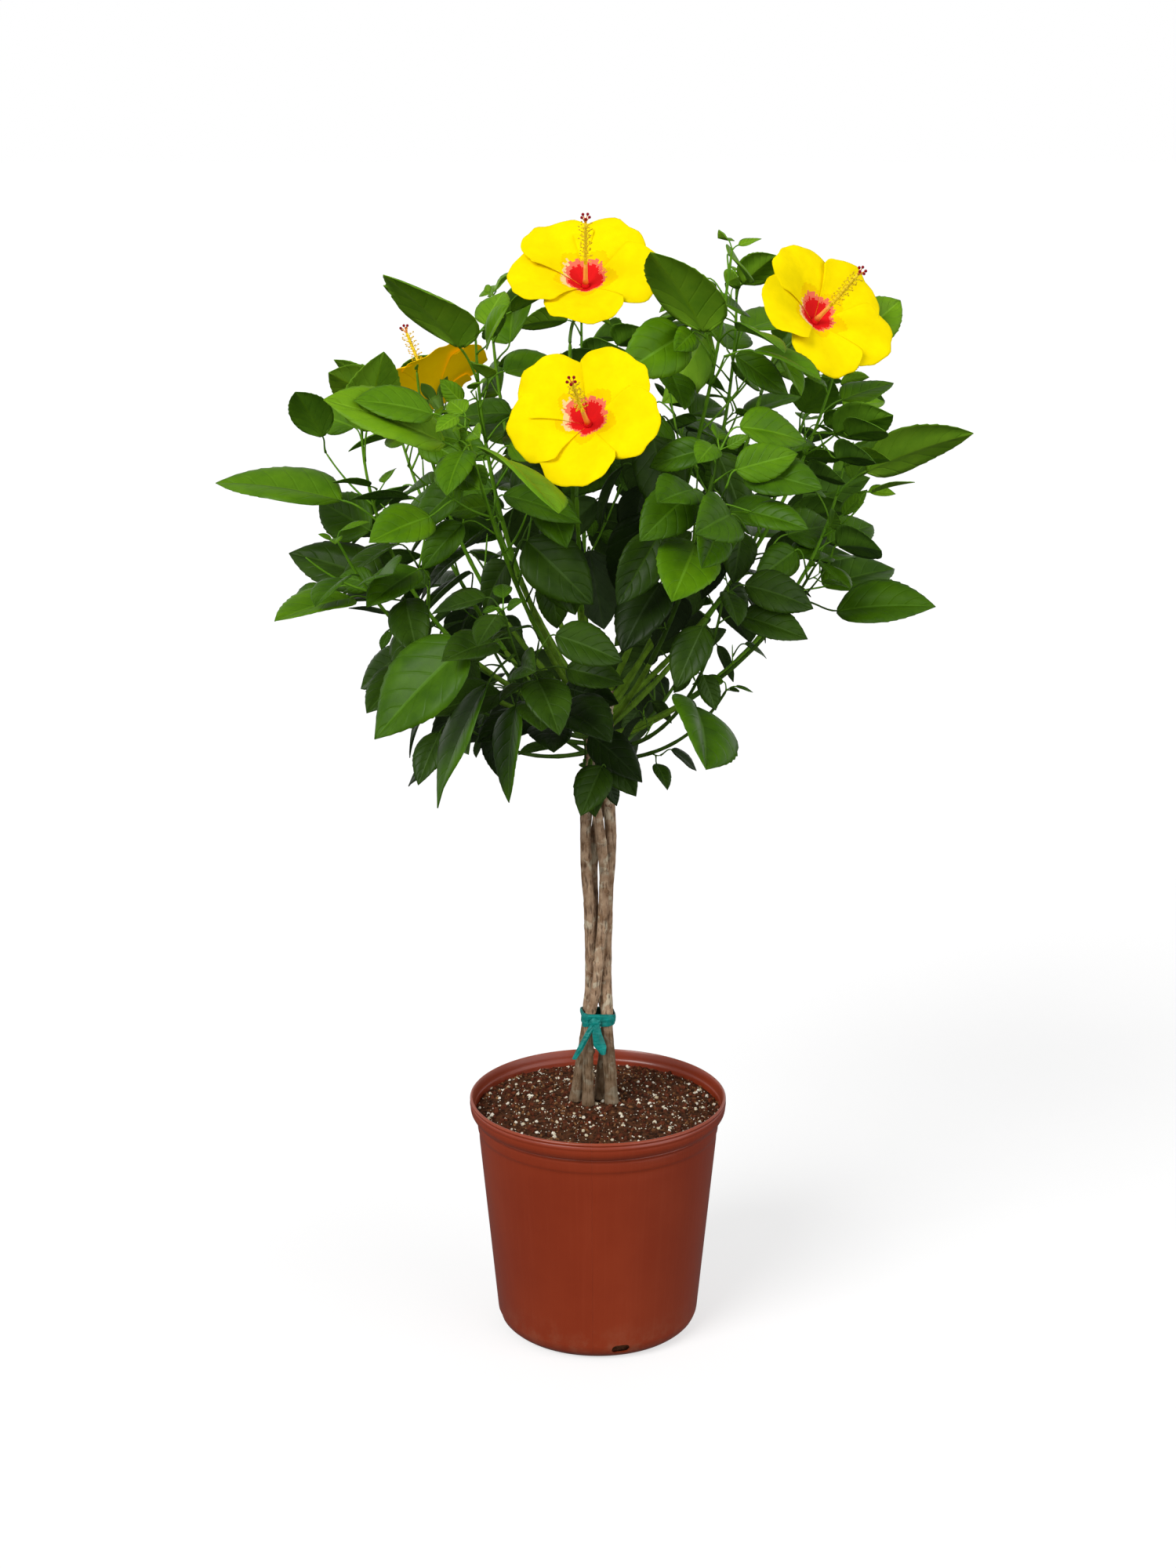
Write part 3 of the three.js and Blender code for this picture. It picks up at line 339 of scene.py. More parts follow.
ring = put(punch, "GeometryNodeRealizeInstances", {"Geometry": ring}).outputs[0]
ring = put(punch, "GeometryNodeTransform", {
    "Geometry": ring, "Rotation": put(punch, "ShaderNodeCombineXYZ", {2: size["First Angle"]}).outputs[0],
    "Translation": put(punch, "ShaderNodeCombineXYZ", {2: size["Slot Z"]}).outputs[0]}).outputs[0]
cut = put(punch, "GeometryNodeMeshBoolean", {0: size["Geometry"]}, operation="DIFFERENCE", solver="EXACT")
punch.links.new(ring, cut.inputs[1])
cut = put(punch, "GeometryNodeSetMaterial", {"Geometry": cut.outputs[0], "Material": pot_plastic}).outputs[0]
punch.links.new(cut, done.inputs[0])

pot_blank = turned("pot blank", rounded(POT_OUTSIDE) + rounded(POT_INSIDE), POT_SIDES, pot_plastic)
pot = grown(pot_blank, "pot_shell", punch, DRAIN_SLOTS)
pot.data.set_sharp_from_angle(angle=math.radians(40))
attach(pot, BODY)
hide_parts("pot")

# ---------------------------------------------------------------- potting mix
# A mound of bark fines and peat that the root ball sits in, with white perlite grains and
# bark chips through it. It fills the pot, so it also shows dark through the drain slots.
SOIL_SIDES = 160
SOIL_TOP = 233
SOIL_BODY = [(0, 3.3), (81.6, 3.3), (94.1, 9.6), (97.2, 15.4), (114.5, 197), (116.2, 218.9), (119.2, 224.2)]
SOIL_CROWN = [
    (119.5, 225.3), (112, 226.4), (104, 227.6), (82, 229.9), (60, 231.8), (40, 232.7), (18, SOIL_TOP),
]
SOIL_RIM = {"radius": 119.4, "fade": 6, "height": 224.8}
# of each size of lump: its height, its width and the seed of its places
SOIL_LUMPS = [(1.3, 14, 11), (0.9, 5.5, 12), (0.7, 2.6, 13)]
# grains to the square metre of level top
SOIL_GRAINS = {"Crumb Density": 32000.0, "Lump Density": 15000.0, "Chip Density": 9000.0,
               "Perlite Density": 5000.0, "Fine Perlite Density": 17000.0}


def grain(points, size, seed):
    """Smooth seeded noise from -1 to 1 at each point, with one size or one for each axis."""
    side = 32
    table = np.random.default_rng(seed).uniform(-1, 1, (side, side, side))
    place = np.asarray(points, dtype=np.float64) / size
    cell = np.floor(place).astype(int)
    part = place - cell
    part = part * part * (3 - 2 * part)
    total = np.zeros(place.shape[:-1])
    for corner in np.ndindex(2, 2, 2):
        weight = np.prod(np.where(np.array(corner) == 1, part, 1 - part), axis=-1)
        at = (cell + corner) % side
        total += weight * table[at[..., 0], at[..., 1], at[..., 2]]
    return total


soil_mix = plain_surface("potting mix", 0.1, colour(98, 60, 38), colour(40, 22, 12), 230, 1500, 0.95, 0.1,
                         0.0006)
red_crumb = plain_surface("red-brown crumb", 0.1, colour(110, 58, 37), colour(62, 29, 18), 200, 1600, 0.92,
                          0.1, 0.0004)
bark_chip = plain_surface("bark chip", 0.12, colour(148, 104, 66), colour(88, 52, 30), 330, 1800, 0.85, 0.1,
                          0.0003)
perlite = plain_surface("perlite", 0.3, colour(248, 244, 230), colour(196, 180, 144), 130, 2200, 0.8, 0.1,
                        0.0003)

rings = [(r, z) for (r0, z0), (r1, z1) in zip(SOIL_CROWN, SOIL_CROWN[1:]) for r, z in
         zip(np.linspace(r0, r1, 8, endpoint=False), np.linspace(z0, z1, 8, endpoint=False))]
rings += [(r, SOIL_TOP) for r in (18, 15, 12, 9, 6, 3)]
soil_top = turned("soil blank", SOIL_BODY + rings + [(0, SOIL_TOP)], SOIL_SIDES, soil_mix)
spots = np.empty(len(soil_top.data.vertices) * 3)
soil_top.data.vertices.foreach_get("co", spots)
spots = spots.reshape(-1, 3) * 1000
inside = np.clip((SOIL_RIM["radius"] - np.hypot(spots[:, 0], spots[:, 1])) / SOIL_RIM["fade"], 0, 1)
inside = inside * (spots[:, 2] > SOIL_RIM["height"])
lumps = sum(high * grain(spots, wide, seed) for high, wide, seed in SOIL_LUMPS)
spots[:, 2] += inside * np.minimum(lumps, 1.2) - 0.4 * inside
soil_top.data.vertices.foreach_set("co", (spots * 0.001).ravel())

# of each kind of grain: its count, radius in metres, flatness, least size, finish and fineness
GRAIN_KINDS = [
    ("Crumb Density", 0.0014, (1.0, 0.8, 0.7), 0.5, soil_mix, 1),
    ("Lump Density", 0.0026, (1.0, 0.85, 0.7), 0.4, red_crumb, 2),
    ("Chip Density", 0.0029, (1.0, 0.6, 0.35), 0.4, bark_chip, 1),
    ("Perlite Density", 0.00195, (1.0, 0.9, 0.85), 0.45, perlite, 2),
    ("Fine Perlite Density", 0.0008, (1.0, 0.9, 0.8), 0.5, perlite, 1),
]
LARGEST_GRAIN = 1.25
LEVEL_AT = {"up": 0.3, "height": 0.2242}
FULL_TURN = 6.28

# rough grains scattered on the level top: seeded places, turns and sizes
scatter, size, done = geometry_tree("grains on soil", SOIL_GRAINS)
up = split(scatter, put(scatter, "GeometryNodeInputNormal").outputs[0])[2]
height = split(scatter, put(scatter, "GeometryNodeInputPosition").outputs[0])[2]
level = maths(scatter, "MULTIPLY", maths(scatter, "GREATER_THAN", up, LEVEL_AT["up"]),
              maths(scatter, "GREATER_THAN", height, LEVEL_AT["height"]))
heap = put(scatter, "GeometryNodeJoinGeometry")
scatter.links.new(size["Geometry"], heap.inputs[0])
for number, (density, radius, flat, least, finish, faces) in enumerate(GRAIN_KINDS):
    thick = maths(scatter, "MULTIPLY", size[density], level)
    points = put(scatter, "GeometryNodeDistributePointsOnFaces", {
        "Mesh": size["Geometry"], "Density": thick, "Seed": number + 3})
    shape = put(scatter, "GeometryNodeMeshIcoSphere", {"Radius": radius, "Subdivisions": faces}).outputs[0]
    rough = put(scatter, "ShaderNodeTexNoise", {"Scale": 0.7 / radius, "Detail": 1.0}).outputs["Color"]
    rough = put(scatter, "ShaderNodeVectorMath", {0: rough, 1: (0.5, 0.5, 0.5)},
                operation="SUBTRACT").outputs[0]
    rough = put(scatter, "ShaderNodeVectorMath", {0: rough, "Scale": radius * 1.3},
                operation="SCALE").outputs[0]
    shape = put(scatter, "GeometryNodeSetPosition", {"Geometry": shape, "Offset": rough}).outputs[0]
    shape = put(scatter, "GeometryNodeTransform", {"Geometry": shape, "Scale": flat}).outputs[0]
    spin = put(scatter, "FunctionNodeRandomValue", {0: (0, 0, 0), 1: (FULL_TURN,) * 3, 8: number + 20},
               data_type="FLOAT_VECTOR").outputs[0]
    grow_by = put(scatter, "FunctionNodeRandomValue", {2: least, 3: LARGEST_GRAIN, 8: number + 40},
                  data_type="FLOAT")
    placed = put(scatter, "GeometryNodeInstanceOnPoints", {
        "Points": points.outputs[0], "Instance": shape, "Rotation": spin,
        "Scale": grow_by.outputs[1]}).outputs[0]
    placed = put(scatter, "GeometryNodeRealizeInstances", {"Geometry": placed}).outputs[0]
    placed = put(scatter, "GeometryNodeSetMaterial", {"Geometry": placed, "Material": finish}).outputs[0]
    scatter.links.new(placed, heap.inputs[0])
scatter.links.new(heap.outputs[0], done.inputs[0])
soil = grown(soil_top, "potting_mix", scatter, SOIL_GRAINS)
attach(soil, BODY)
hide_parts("soil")

# ---------------------------------------------------------------- trunk stems
# Four woody cuttings rooted together and wound round each other while green, so that they
# have set as one open twist: grey-brown bark with pale flecks, scars of old leaves and knobs.
GAP = 0.3
STRAND_RADII = [5.4, 5.8, 4.9, 5.9]
BRAID_TOP = 575
HEAD_TOP = 655
TIE_HEIGHT = 322
BRAID_TWIST = 75
FOOT_TWIST = 28
# height, half width and half depth of the ring that the stems' middles stand on
BRAID = [
    (SOIL_TOP, 18.5, 9.5), (TIE_HEIGHT - 6, 12.5, 9), (TIE_HEIGHT + 6, 12, 9), (345, 8.6, 10),
    (371, 6.8, 10.8), (400, 7.8, 10.2), (440, 10, 9), (480, 13, 8.8), (530, 11.5, 8.8),
    (BRAID_TOP, 9.5, 8.8),
]
FOOT_FLARE = 1.4
FOOT_SHIFT = -4
HEAD_SPREAD = 15
STEM_SIDES = 46
STEM_RINGS = 300
SMOOTHING = 21
# of each grain of the bark: its height, its widths across and along, the seed of its places
BARK_GRAIN = [(0.35, (1.0, 1.0, 16), 30), (0.22, (0.55, 0.55, 6), 40), (0.5, (5, 5, 22), 50)]
SCARS = {"first": 262, "step": 31, "wander": 9}
STEM_ENDS = [0.95, 0.85, 0.68, 0.4]


def ramp(at, rows):
    return float(np.interp(at, [row[0] for row in rows], [row[1] for row in rows]))


def strand_radius(k, z):
    flare = FOOT_FLARE * math.exp(-(z - SOIL_TOP) / 12)
    taper = [(SOIL_TOP, 1.12), (TIE_HEIGHT, 1), (BRAID_TOP, 0.96), (HEAD_TOP, 0.8)]
    return STRAND_RADII[k] * ramp(z, taper) + flare


def strands_at(z):
    """Middles of the four stems at one height."""
    down = (BRAID_TOP - min(z, BRAID_TOP)) / (BRAID_TOP - TIE_HEIGHT)
    splay = ramp(z, [(SOIL_TOP, FOOT_TWIST), (TIE_HEIGHT, 0)])
    turn = 45 + BRAID_TWIST * math.sin(math.pi * min(1, down)) + splay
    wide = ramp(z, [(row[0], row[1]) for row in BRAID])
    deep = ramp(z, [(row[0], row[2]) for row in BRAID])
    shift = ramp(z, [(SOIL_TOP, FOOT_SHIFT), (TIE_HEIGHT, 0)])
    lean = max(0, z - BRAID_TOP) / (HEAD_TOP - BRAID_TOP)
    middles = []
    for k in range(4):
        a = math.radians(turn + 90 * k)
        x, y = wide * math.cos(a), deep * math.sin(a)
        out = 1 + (HEAD_SPREAD / math.hypot(x, y) - 1) * lean
        middles.append((x * out + shift, y * out))
    return middles


def tube(path, radii, sides):
    """Points and faces of a round limb along a path, closed at both ends."""
    path = np.asarray(path, dtype=np.float64)
    ahead = np.gradient(path, axis=0)
    ahead /= np.linalg.norm(ahead, axis=1, keepdims=True)
    side = np.cross(ahead[0], (0.02, 0.01, 1))
    if np.linalg.norm(side) < 0.1:
        side = np.cross(ahead[0], (1, 0, 0))
    sides_at = []
    for d in ahead:
        side = side - d * side.dot(d)
        side = side / np.linalg.norm(side)
        sides_at.append(side)
    u = np.array(sides_at)[:, None, :]
    v = np.cross(ahead, np.array(sides_at))[:, None, :]
    a = (2 * math.pi * np.arange(sides) / sides)[None, :, None]
    radii = np.asarray(radii, dtype=np.float64)
    radii = radii.reshape(len(path), -1, 1) if radii.ndim > 1 else radii.reshape(len(path), 1, 1)
    rings = path[:, None, :] + radii * (u * np.cos(a) + v * np.sin(a))
    points = np.vstack([rings.reshape(-1, 3), path[0], path[-1]])
    k, n = np.arange(sides), (np.arange(sides) + 1) % sides
    rows = sides * np.arange(len(path) - 1)[:, None]
    faces = np.concatenate([
        np.stack([rows + k, rows + n, rows + sides + n], axis=2).reshape(-1, 3),
        np.stack([rows + k, rows + sides + n, rows + sides + k], axis=2).reshape(-1, 3),
        np.stack([n, k, np.full(sides, len(points) - 2)], axis=1),
        np.stack([sides * (len(path) - 1) + k, sides * (len(path) - 1) + n,
                  np.full(sides, len(points) - 1)], axis=1)])
    return points, faces


def joined(parts):
    """Points, faces and finish numbers of several (points, faces, finish) as one."""
    points, faces, finishes, start = [], [], [], 0
    for some, shape, finish in parts:
        points.append(some)
        faces.append(shape + start)
        finishes.append(np.broadcast_to(finish, len(shape)))
        start += len(some)
    return np.vstack(points), np.vstack(faces), np.concatenate(finishes)


bark, tree, shader, place = surface("stem bark", Specular_IOR_Level=0.12)
group, bump = mottle(tree, shader, place, colour(188, 160, 132), colour(134, 104, 78), 90, 1400, 0.85, 0.1,
                     0.0004)
fissure = streak(tree, place, (1, 1, 0.12), 620, 4)
pale = mask(tree, noise(tree, place, 75, 3, Distortion=0.6), 0.55, 0.64)
weathered = laid_over(tree, group.outputs["Color"], colour(208, 198, 172), pale, 0.65)
# painted shade: the fissures of the bark are painted dark
cracks_painted_shade = laid_over(tree, weathered, colour(66, 44, 32), mask(tree, fissure, 0.47, 0.36), 0.7)
foot = mask(tree, split(tree, place)[2], 0.33, 0.285)
damp = laid_over(tree, cracks_painted_shade, colour(74, 60, 40), foot, 0.62)
tree.links.new(damp, shader.inputs["Base Color"])
relieve(tree, shader, bump, fissure, 0.0012, 0.8)

heights = np.linspace(SOIL_TOP + GAP, HEAD_TOP, STEM_RINGS)
window = np.hanning(SMOOTHING)
window /= window.sum()
stems = []
for k in range(4):
    middles = np.array([strands_at(z)[k] for z in heights])
    padded = np.pad(middles, ((SMOOTHING // 2, SMOOTHING // 2), (0, 0)), mode="edge")
    middles = np.stack([np.convolve(padded[:, axis], window, "valid") for axis in (0, 1)], axis=1)
    radii = np.array([strand_radius(k, z) for z in heights]) * 0.97
    angle = 2 * math.pi * np.arange(STEM_SIDES) / STEM_SIDES
    skin = np.stack(np.broadcast_arrays(
        3.2 * np.cos(angle)[None, :], 3.2 * np.sin(angle)[None, :], heights[:, None]), axis=2)
    relief = sum(high * grain(skin, wide, seed + k) for high, wide, seed in BARK_GRAIN)
    chance = np.random.default_rng(60 + k)
    for z in np.arange(SCARS["first"], HEAD_TOP, SCARS["step"]):
        scar = z + chance.uniform(-SCARS["wander"], SCARS["wander"])
        side = chance.uniform(0, 2 * math.pi)
        around = np.cos(angle - side)[None, :]
        up = (heights - scar)[:, None]
        relief += 0.55 * np.exp(-(up / 3.2) ** 2) * (0.5 + 0.5 * around)
        relief += chance.uniform(0.5, 1.7) * np.exp(-(up / 2.6) ** 2 - ((1 - around) / 0.16) ** 2)
        relief -= 0.5 * np.exp(-((up - 2.8) / 0.8) ** 2) * np.clip(around, 0, 1)
    reach = radii[:, None] + relief
    reach[-len(STEM_ENDS):] *= np.array(STEM_ENDS)[:, None]
    path = np.column_stack([middles, heights])
    stems.append((*tube(path, reach, STEM_SIDES), 0))
points, faces, finishes = joined(stems)
points[:, 2] = np.maximum(points[:, 2], SOIL_TOP - 2.5)
trunk = mesh_object("wound_stems", points, faces, [bark])
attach(trunk, BODY)
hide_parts(*[f"trunk_stem_{k + 1}" for k in range(4)])

# ---------------------------------------------------------------- tie
# Teal stretch tape wound twice round the four stems, knotted in front, with its two cut ends
# left loose: a narrow one with a pale scuffed tip to the left and a broad one to the right.
TIE_HALF = 6
# of each turn of the band: its foot below the tie's height, how proud it stands, its wave
TURNS = [(-6.2, 0.9, 1), (-1.4, 1.7, 2)]
TURN_WIDTH = 7.6
# of each loose end: places along it (across, out from the stems, down), widths, depth of fold
LEFT_END = ([(-3, 2.6, 0), (-10, 5, 12), (-17, 6, 26), (-23, 6.5, 37)], [5, 6.5, 6, 4.5], 1.6)
RIGHT_END = ([(-2, 2.6, 0), (-1, 5, 12), (2, 6, 24), (5, 6.5, 32)], [6, 9, 12.5, 5], 2.2)
END_STATIONS = 26
SCUFFED_BELOW = 31
KNOT_HALF = 8

tape, tree, shader, place = surface("teal tape", Specular_IOR_Level=0.25)
group, bump = mottle(tree, shader, place, colour(10, 136, 128), colour(6, 106, 98), 160, 900, 0.42, 0.2,
                     0.00015)
relieve(tree, shader, bump, streak(tree, place, (0.5, 0.5, 2.2), 240, 2), 0.0008)
tape_end = plain_surface("scuffed tape end", 0.4, colour(168, 190, 190), colour(92, 150, 150), 300, 900, 0.6,
                         0.1, 0.0002)


def stem_edge(a, z, off):
    """Outermost point of the four stems towards one side, in plan."""
    best = max(((x * math.cos(a) + y * math.sin(a) + strand_radius(k, z) + off, x, y, k)
                for k, (x, y) in enumerate(strands_at(z))), key=lambda row: row[0])
    r = strand_radius(best[3], z) + off
    return best[1] + r * math.cos(a), best[2] + r * math.sin(a)


def ribbon(rows, wall):
    """Points and faces of a strip from rows of points across it, given a thickness."""
    rows = np.asarray(rows, dtype=np.float64)
    count, across = rows.shape[:2]
    along_way = np.gradient(rows, axis=0)
    cross_way = np.gradient(rows, axis=1)
    normal = np.cross(along_way, cross_way)
    normal /= np.linalg.norm(normal, axis=2, keepdims=True)
    points = np.vstack([(rows + normal * wall / 2).reshape(-1, 3), (rows - normal * wall / 2).reshape(-1, 3)])
    half = count * across
    faces = []
    for i in range(count - 1):
        for j in range(across - 1):
            a, b, c, d = i * across + j, (i + 1) * across + j, (i + 1) * across + j + 1, i * across + j + 1
            faces += [(a, b, c), (a, c, d), (half + a, half + c, half + b), (half + a, half + d, half + c)]
    edge = [i * across for i in range(count)] + [(count - 1) * across + j for j in range(1, across)]
    edge += [i * across + across - 1 for i in range(count - 2, -1, -1)] + list(range(across - 2, 0, -1))
    for a, b in zip(edge, edge[1:] + edge[:1]):
        faces += [(a, half + a, half + b), (a, half + b, b)]
    return points, np.array(faces)


bands = []
for low, proud, wave in TURNS:
    rows = []
    for a in np.linspace(0, 2 * math.pi, 90, endpoint=False):
        row = []
        for s in np.linspace(0, 1, 7):
            z = TIE_HEIGHT + low + TURN_WIDTH * s + 1.4 * math.sin(a + wave * 2)
            pinch = proud + 0.45 * math.sin(math.pi * s) + 0.35 * math.sin(11 * a + 3 * s + wave)
            row.append((*stem_edge(a, min(max(z, TIE_HEIGHT - TIE_HALF), TIE_HEIGHT + TIE_HALF), pinch), z))
        rows.append(row)
    rows.append(rows[0])
    bands.append((*ribbon(rows, 0.7), 0))
front = stem_edge(-math.pi / 2, TIE_HEIGHT, 3 * GAP)[1]


def loose_end(stations, widths, fold):
    """A tape end: stations of (x, out from the stems, below the knot), folded along its middle."""
    rows = []
    for i in range(END_STATIONS):
        t = i / (END_STATIONS - 1) * (len(stations) - 1)
        j = min(int(t), len(stations) - 2)
        p = np.array(stations[j]) * (1 - t + j) + np.array(stations[j + 1]) * (t - j)
        half = np.interp(i / (END_STATIONS - 1), np.linspace(0, 1, len(widths)), widths) / 2
        rows.append([(p[0] + half * s, front - p[1] - fold * (1 - s * s) + 0.5 * math.sin(5 * s + i / 3),
                      TIE_HEIGHT - p[2] + 0.5 * abs(s)) for s in np.linspace(-1, 1, 7)])
    return ribbon(rows, 0.5)


left = loose_end(*LEFT_END)
right = loose_end(*RIGHT_END)
scuffed = (left[0][left[1]].mean(axis=1)[:, 2] < TIE_HEIGHT - SCUFFED_BELOW).astype(int)
knot = [[(-3 + KNOT_HALF * 0.62 * math.cos(b) * (1 + 0.12 * math.sin(3 * a)),
          front - 2.6 - 2.7 * math.sin(b) * math.sin(a) - 0.4, TIE_HEIGHT + 4.2 * math.sin(b) * math.cos(a)
          * (1 + 0.15 * math.sin(4 * b))) for b in np.linspace(0.05, math.pi - 0.05, 18)]
        for a in np.linspace(0, 2 * math.pi, 33)]
points, faces, finishes = joined(bands + [(*left, scuffed), (*right, 0), (*ribbon(knot, 0.5), 0)])
tie = mesh_object("tape_tie", points, faces, [tape, tape_end])
tie.data.set_sharp_from_angle(angle=math.radians(50))
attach(tie, BODY)
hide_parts("tie_tape")

# ---------------------------------------------------------------- boughs
# The bare lower part of each shoot, grown from the head of the stems: olive-green bark, thickest
# where it leaves the trunk, with slight swellings like those that old leaves leave.

# headings and rises in degrees; a large leaf is given by its share along the shoot, heading,
# rise, roll and length; the leaves numbered in fallen have dropped
SHOOT = {"bare": 0.32, "gap": 25, "leaf": 96, "twig": 75, "droop": 30, "young": 0.8, "large": [],
         "fallen": []}
LOW = {"bare": 0, "young": 0.2, "twig": 60}
SHOOTS = [
    {"name": "far_left", "az": 189, "rise": [18, 92], "length": 390, "leaf": 102, "droop": 13,
     "seed": 37, "large": [[0.6, 171, 13, 5, 121], [0.82, 304, 70, -60, 84]],
     "fallen": [11, 13, 14, 16, 17, 19]},
    {"name": "left_mid", "az": 212, "rise": [14, 62], "length": 340, "leaf": 102, "droop": 35,
     "young": 0.5, "seed": 12, "large": [[0.7, 224, 0, -20, 84]], "fallen": [10, 13, 14, 16, 17]},
    {"name": "front_left", "az": 227, "rise": [48, 88], "length": 390, "leaf": 98, "droop": 20,
     "bare": 0.42, "young": 1, "seed": 68, "large": [[0.82, 232, 42, -20, 117]],
     "fallen": [11, 14, 15, 16, 19]},
    {"name": "left_low", **LOW, "az": 197, "rise": [8, 57], "length": 230, "leaf": 100,
     "droop": 65, "seed": 59, "fallen": [14, 16]},
    {"name": "left_hang", **LOW, "az": 215, "rise": [-5, 43], "length": 160, "leaf": 100,
     "droop": 70, "seed": 80, "fallen": [4, 6]},
    {"name": "left_top", "az": 154, "rise": [62, 87], "length": 380, "leaf": 100, "droop": 3,
     "seed": 34, "fallen": [19, 20]},
    {"name": "left_back", "az": 180, "rise": [42, 86], "length": 370, "leaf": 96, "droop": 37,
     "seed": 50, "fallen": [11]},
    {"name": "leafy_top", "az": 317, "rise": [60, 82], "length": 440, "leaf": 108, "droop": 60,
     "young": 0.7, "seed": 89, "large": [[0.65, 232, 49, 55, 108], [0.82, 119, -50, 20, 94]],
     "fallen": [30, 31, 32]},
    {"name": "right_top", "az": 26, "rise": [52, 92], "length": 440, "leaf": 88, "droop": 25,
     "young": 0.9, "seed": 58, "fallen": [28, 29, 30]},
    {"name": "right_gap", "az": 356, "rise": [40, 77], "length": 410, "leaf": 84, "droop": 35,
     "young": 0.7, "seed": 37, "fallen": [15]},
    {"name": "far_right", "az": 2, "rise": [20, 80], "length": 360, "leaf": 104, "droop": 5,
     "seed": 88, "large": [[0.88, 4, 25, -45, 105]], "fallen": [2, 4, 10, 12, 16]},
    {"name": "right_mid", "az": 343, "rise": [20, 63], "length": 270, "leaf": 104, "droop": 35,
     "young": 0.4, "seed": 97, "fallen": [4, 5, 6, 10]},
    {"name": "right_low", **LOW, "az": 328, "rise": [5, 60], "length": 160, "leaf": 98,
     "droop": 35, "seed": 75, "fallen": [5, 7]},
    {"name": "front_mid_left", "az": 247, "rise": [36, 62], "length": 400, "leaf": 94,
     "droop": 60, "young": 0.6, "seed": 12,
     "large": [[0.85, 204, 27, 10, 109], [0.88, 304, -10, -60, 114]], "fallen": [6, 12, 19, 24]},
    {"name": "front_mid_right", "az": 296, "rise": [36, 71], "length": 360, "leaf": 94,
     "droop": 40, "young": 0.4, "seed": 41, "large": [[0.64, 256, -20, 0, 84]]},
    {"name": "front_low_left", **LOW, "az": 253, "rise": [10, 58], "length": 310, "leaf": 92,
     "droop": 20, "gap": 19, "seed": 67,
     "large": [[0.94, 192, -40, 0, 114], [0.82, 200, -59, 40, 114], [0.7, 239, -70, 40, 84]],
     "fallen": [12, 23, 28, 30, 33]},
    {"name": "front_low_right", **LOW, "az": 303, "rise": [10, 77], "length": 270, "leaf": 92,
     "droop": 55, "gap": 19, "seed": 20,
     "large": [[0.55, 277, -10, -20, 112]], "fallen": [6, 7, 9, 10, 11, 13, 14, 15]},
    {"name": "front_low", **LOW, "az": 267, "rise": [-15, 43], "length": 130, "leaf": 96,
     "droop": 55, "gap": 17, "seed": 51, "fallen": [9, 11]},
    {"name": "back_left", "az": 133, "rise": [22, 70], "length": 440, "leaf": 96, "droop": 55,
     "seed": 10, "fallen": [17, 21, 24]},
    {"name": "back", "az": 92, "rise": [36, 84], "length": 460, "leaf": 96, "droop": 60,
     "seed": 83, "fallen": [26]},
    {"name": "back_right", "az": 44, "rise": [24, 70], "length": 440, "leaf": 96, "droop": 20, "seed": 61},
    {"name": "back_low_left", **LOW, "az": 130, "rise": [8, 58], "length": 220, "leaf": 98,
     "droop": 45, "seed": 77},
    {"name": "back_low_right", **LOW, "az": 55, "rise": [8, 55], "length": 230, "leaf": 98,
     "droop": 70, "seed": 54, "fallen": [8, 11, 13]},
]
# where the middle of a bloom's rim lies, which way it faces and the bearings of its petals
BLOOMS = [
    {"name": "top", "az": 244, "rise": [78, 90], "length": 330, "at": [-12, -30, 1046],
     "face": [0, -0.64, 0.77], "radius": 70, "petals": [11, 87, 174, 239, 307]},
    {"name": "front", "az": 266, "rise": [50, 66], "length": 250, "at": [-14, -190, 934],
     "face": [-0.18, -0.84, 0.51], "radius": 66, "petals": [19, 87, 171, 233, 322]},
    {"name": "right", "az": 340, "rise": [52, 76], "length": 330, "at": [204, -60, 1012],
     "face": [0.47, -0.67, 0.57], "radius": 68, "petals": [66, 139, 205, 284, 353]},
    {"name": "rear", "az": 150, "rise": [50, 74], "length": 300, "at": [-163, 60, 938],
     "face": [-0.4, 0.5, 0.75], "radius": 62, "petals": [36, 108, 180, 252, 324]},
]
BLOOM = {"depth": 26, "column": 58, "stalk": 1.6, "room": 120}
# of each kind of limb: radius at its foot and at its end, sides, finish, swelling of its knots
BARE_LIMB = (3.1, 2.25, 14, 0, 0.12)
BLOOM_LIMB_LOW = (2.9, 2.2, 14, 0, 0.12)
BLOOM_LIMB_HIGH = (2.25, 1.7, 12, 1, 0.1)
PATH_STEPS = 10
PATH_GRAIN = 4.0
KNOT_STEP = 24
HEAD_LOW = 585
HEAD_HIGH = 652


def unit(a):
    return np.asarray(a, dtype=np.float64) / np.linalg.norm(a)


def square_to(d):
    """Two directions square to d, the first one level."""
    u = unit(np.cross(d, (0.001, 0, 1)))
    return u, np.cross(d, u)


def heading(az, el):
    return np.array([math.cos(el) * math.cos(az), math.cos(el) * math.sin(az), math.sin(el)])


def rooted(rows):
    """Each shoot leaves the stem tip nearest its heading, the flattest shoots lowest."""
    tips = [math.degrees(math.atan2(y, x)) for x, y in strands_at(HEAD_TOP)]
    for row in rows:
        row["stem"] = min(range(4), key=lambda k: abs((row["az"] - tips[k] + 540) % 360 - 180))
    for k in range(4):
        own = sorted((row for row in rows if row["stem"] == k), key=lambda row: row["rise"][0])
        for j, row in enumerate(own):
            row["z"] = HEAD_LOW + (HEAD_HIGH - HEAD_LOW) * j / max(5, len(own) - 1)
    return rows


def path_of(row):
    """A shoot keeps its heading and lifts steadily from its first rise to its last."""
    x, y = strands_at(row["z"])[row["stem"]]
    path = [np.array([x, y, row["z"]])]
    first, last = row["rise"]
    for i in range(PATH_STEPS):
        rise = first + (last - first) * (i + 0.5) / PATH_STEPS
        way = heading(math.radians(row["az"]), math.radians(rise))
        path.append(path[i] + way * row["length"] / PATH_STEPS)
    return path


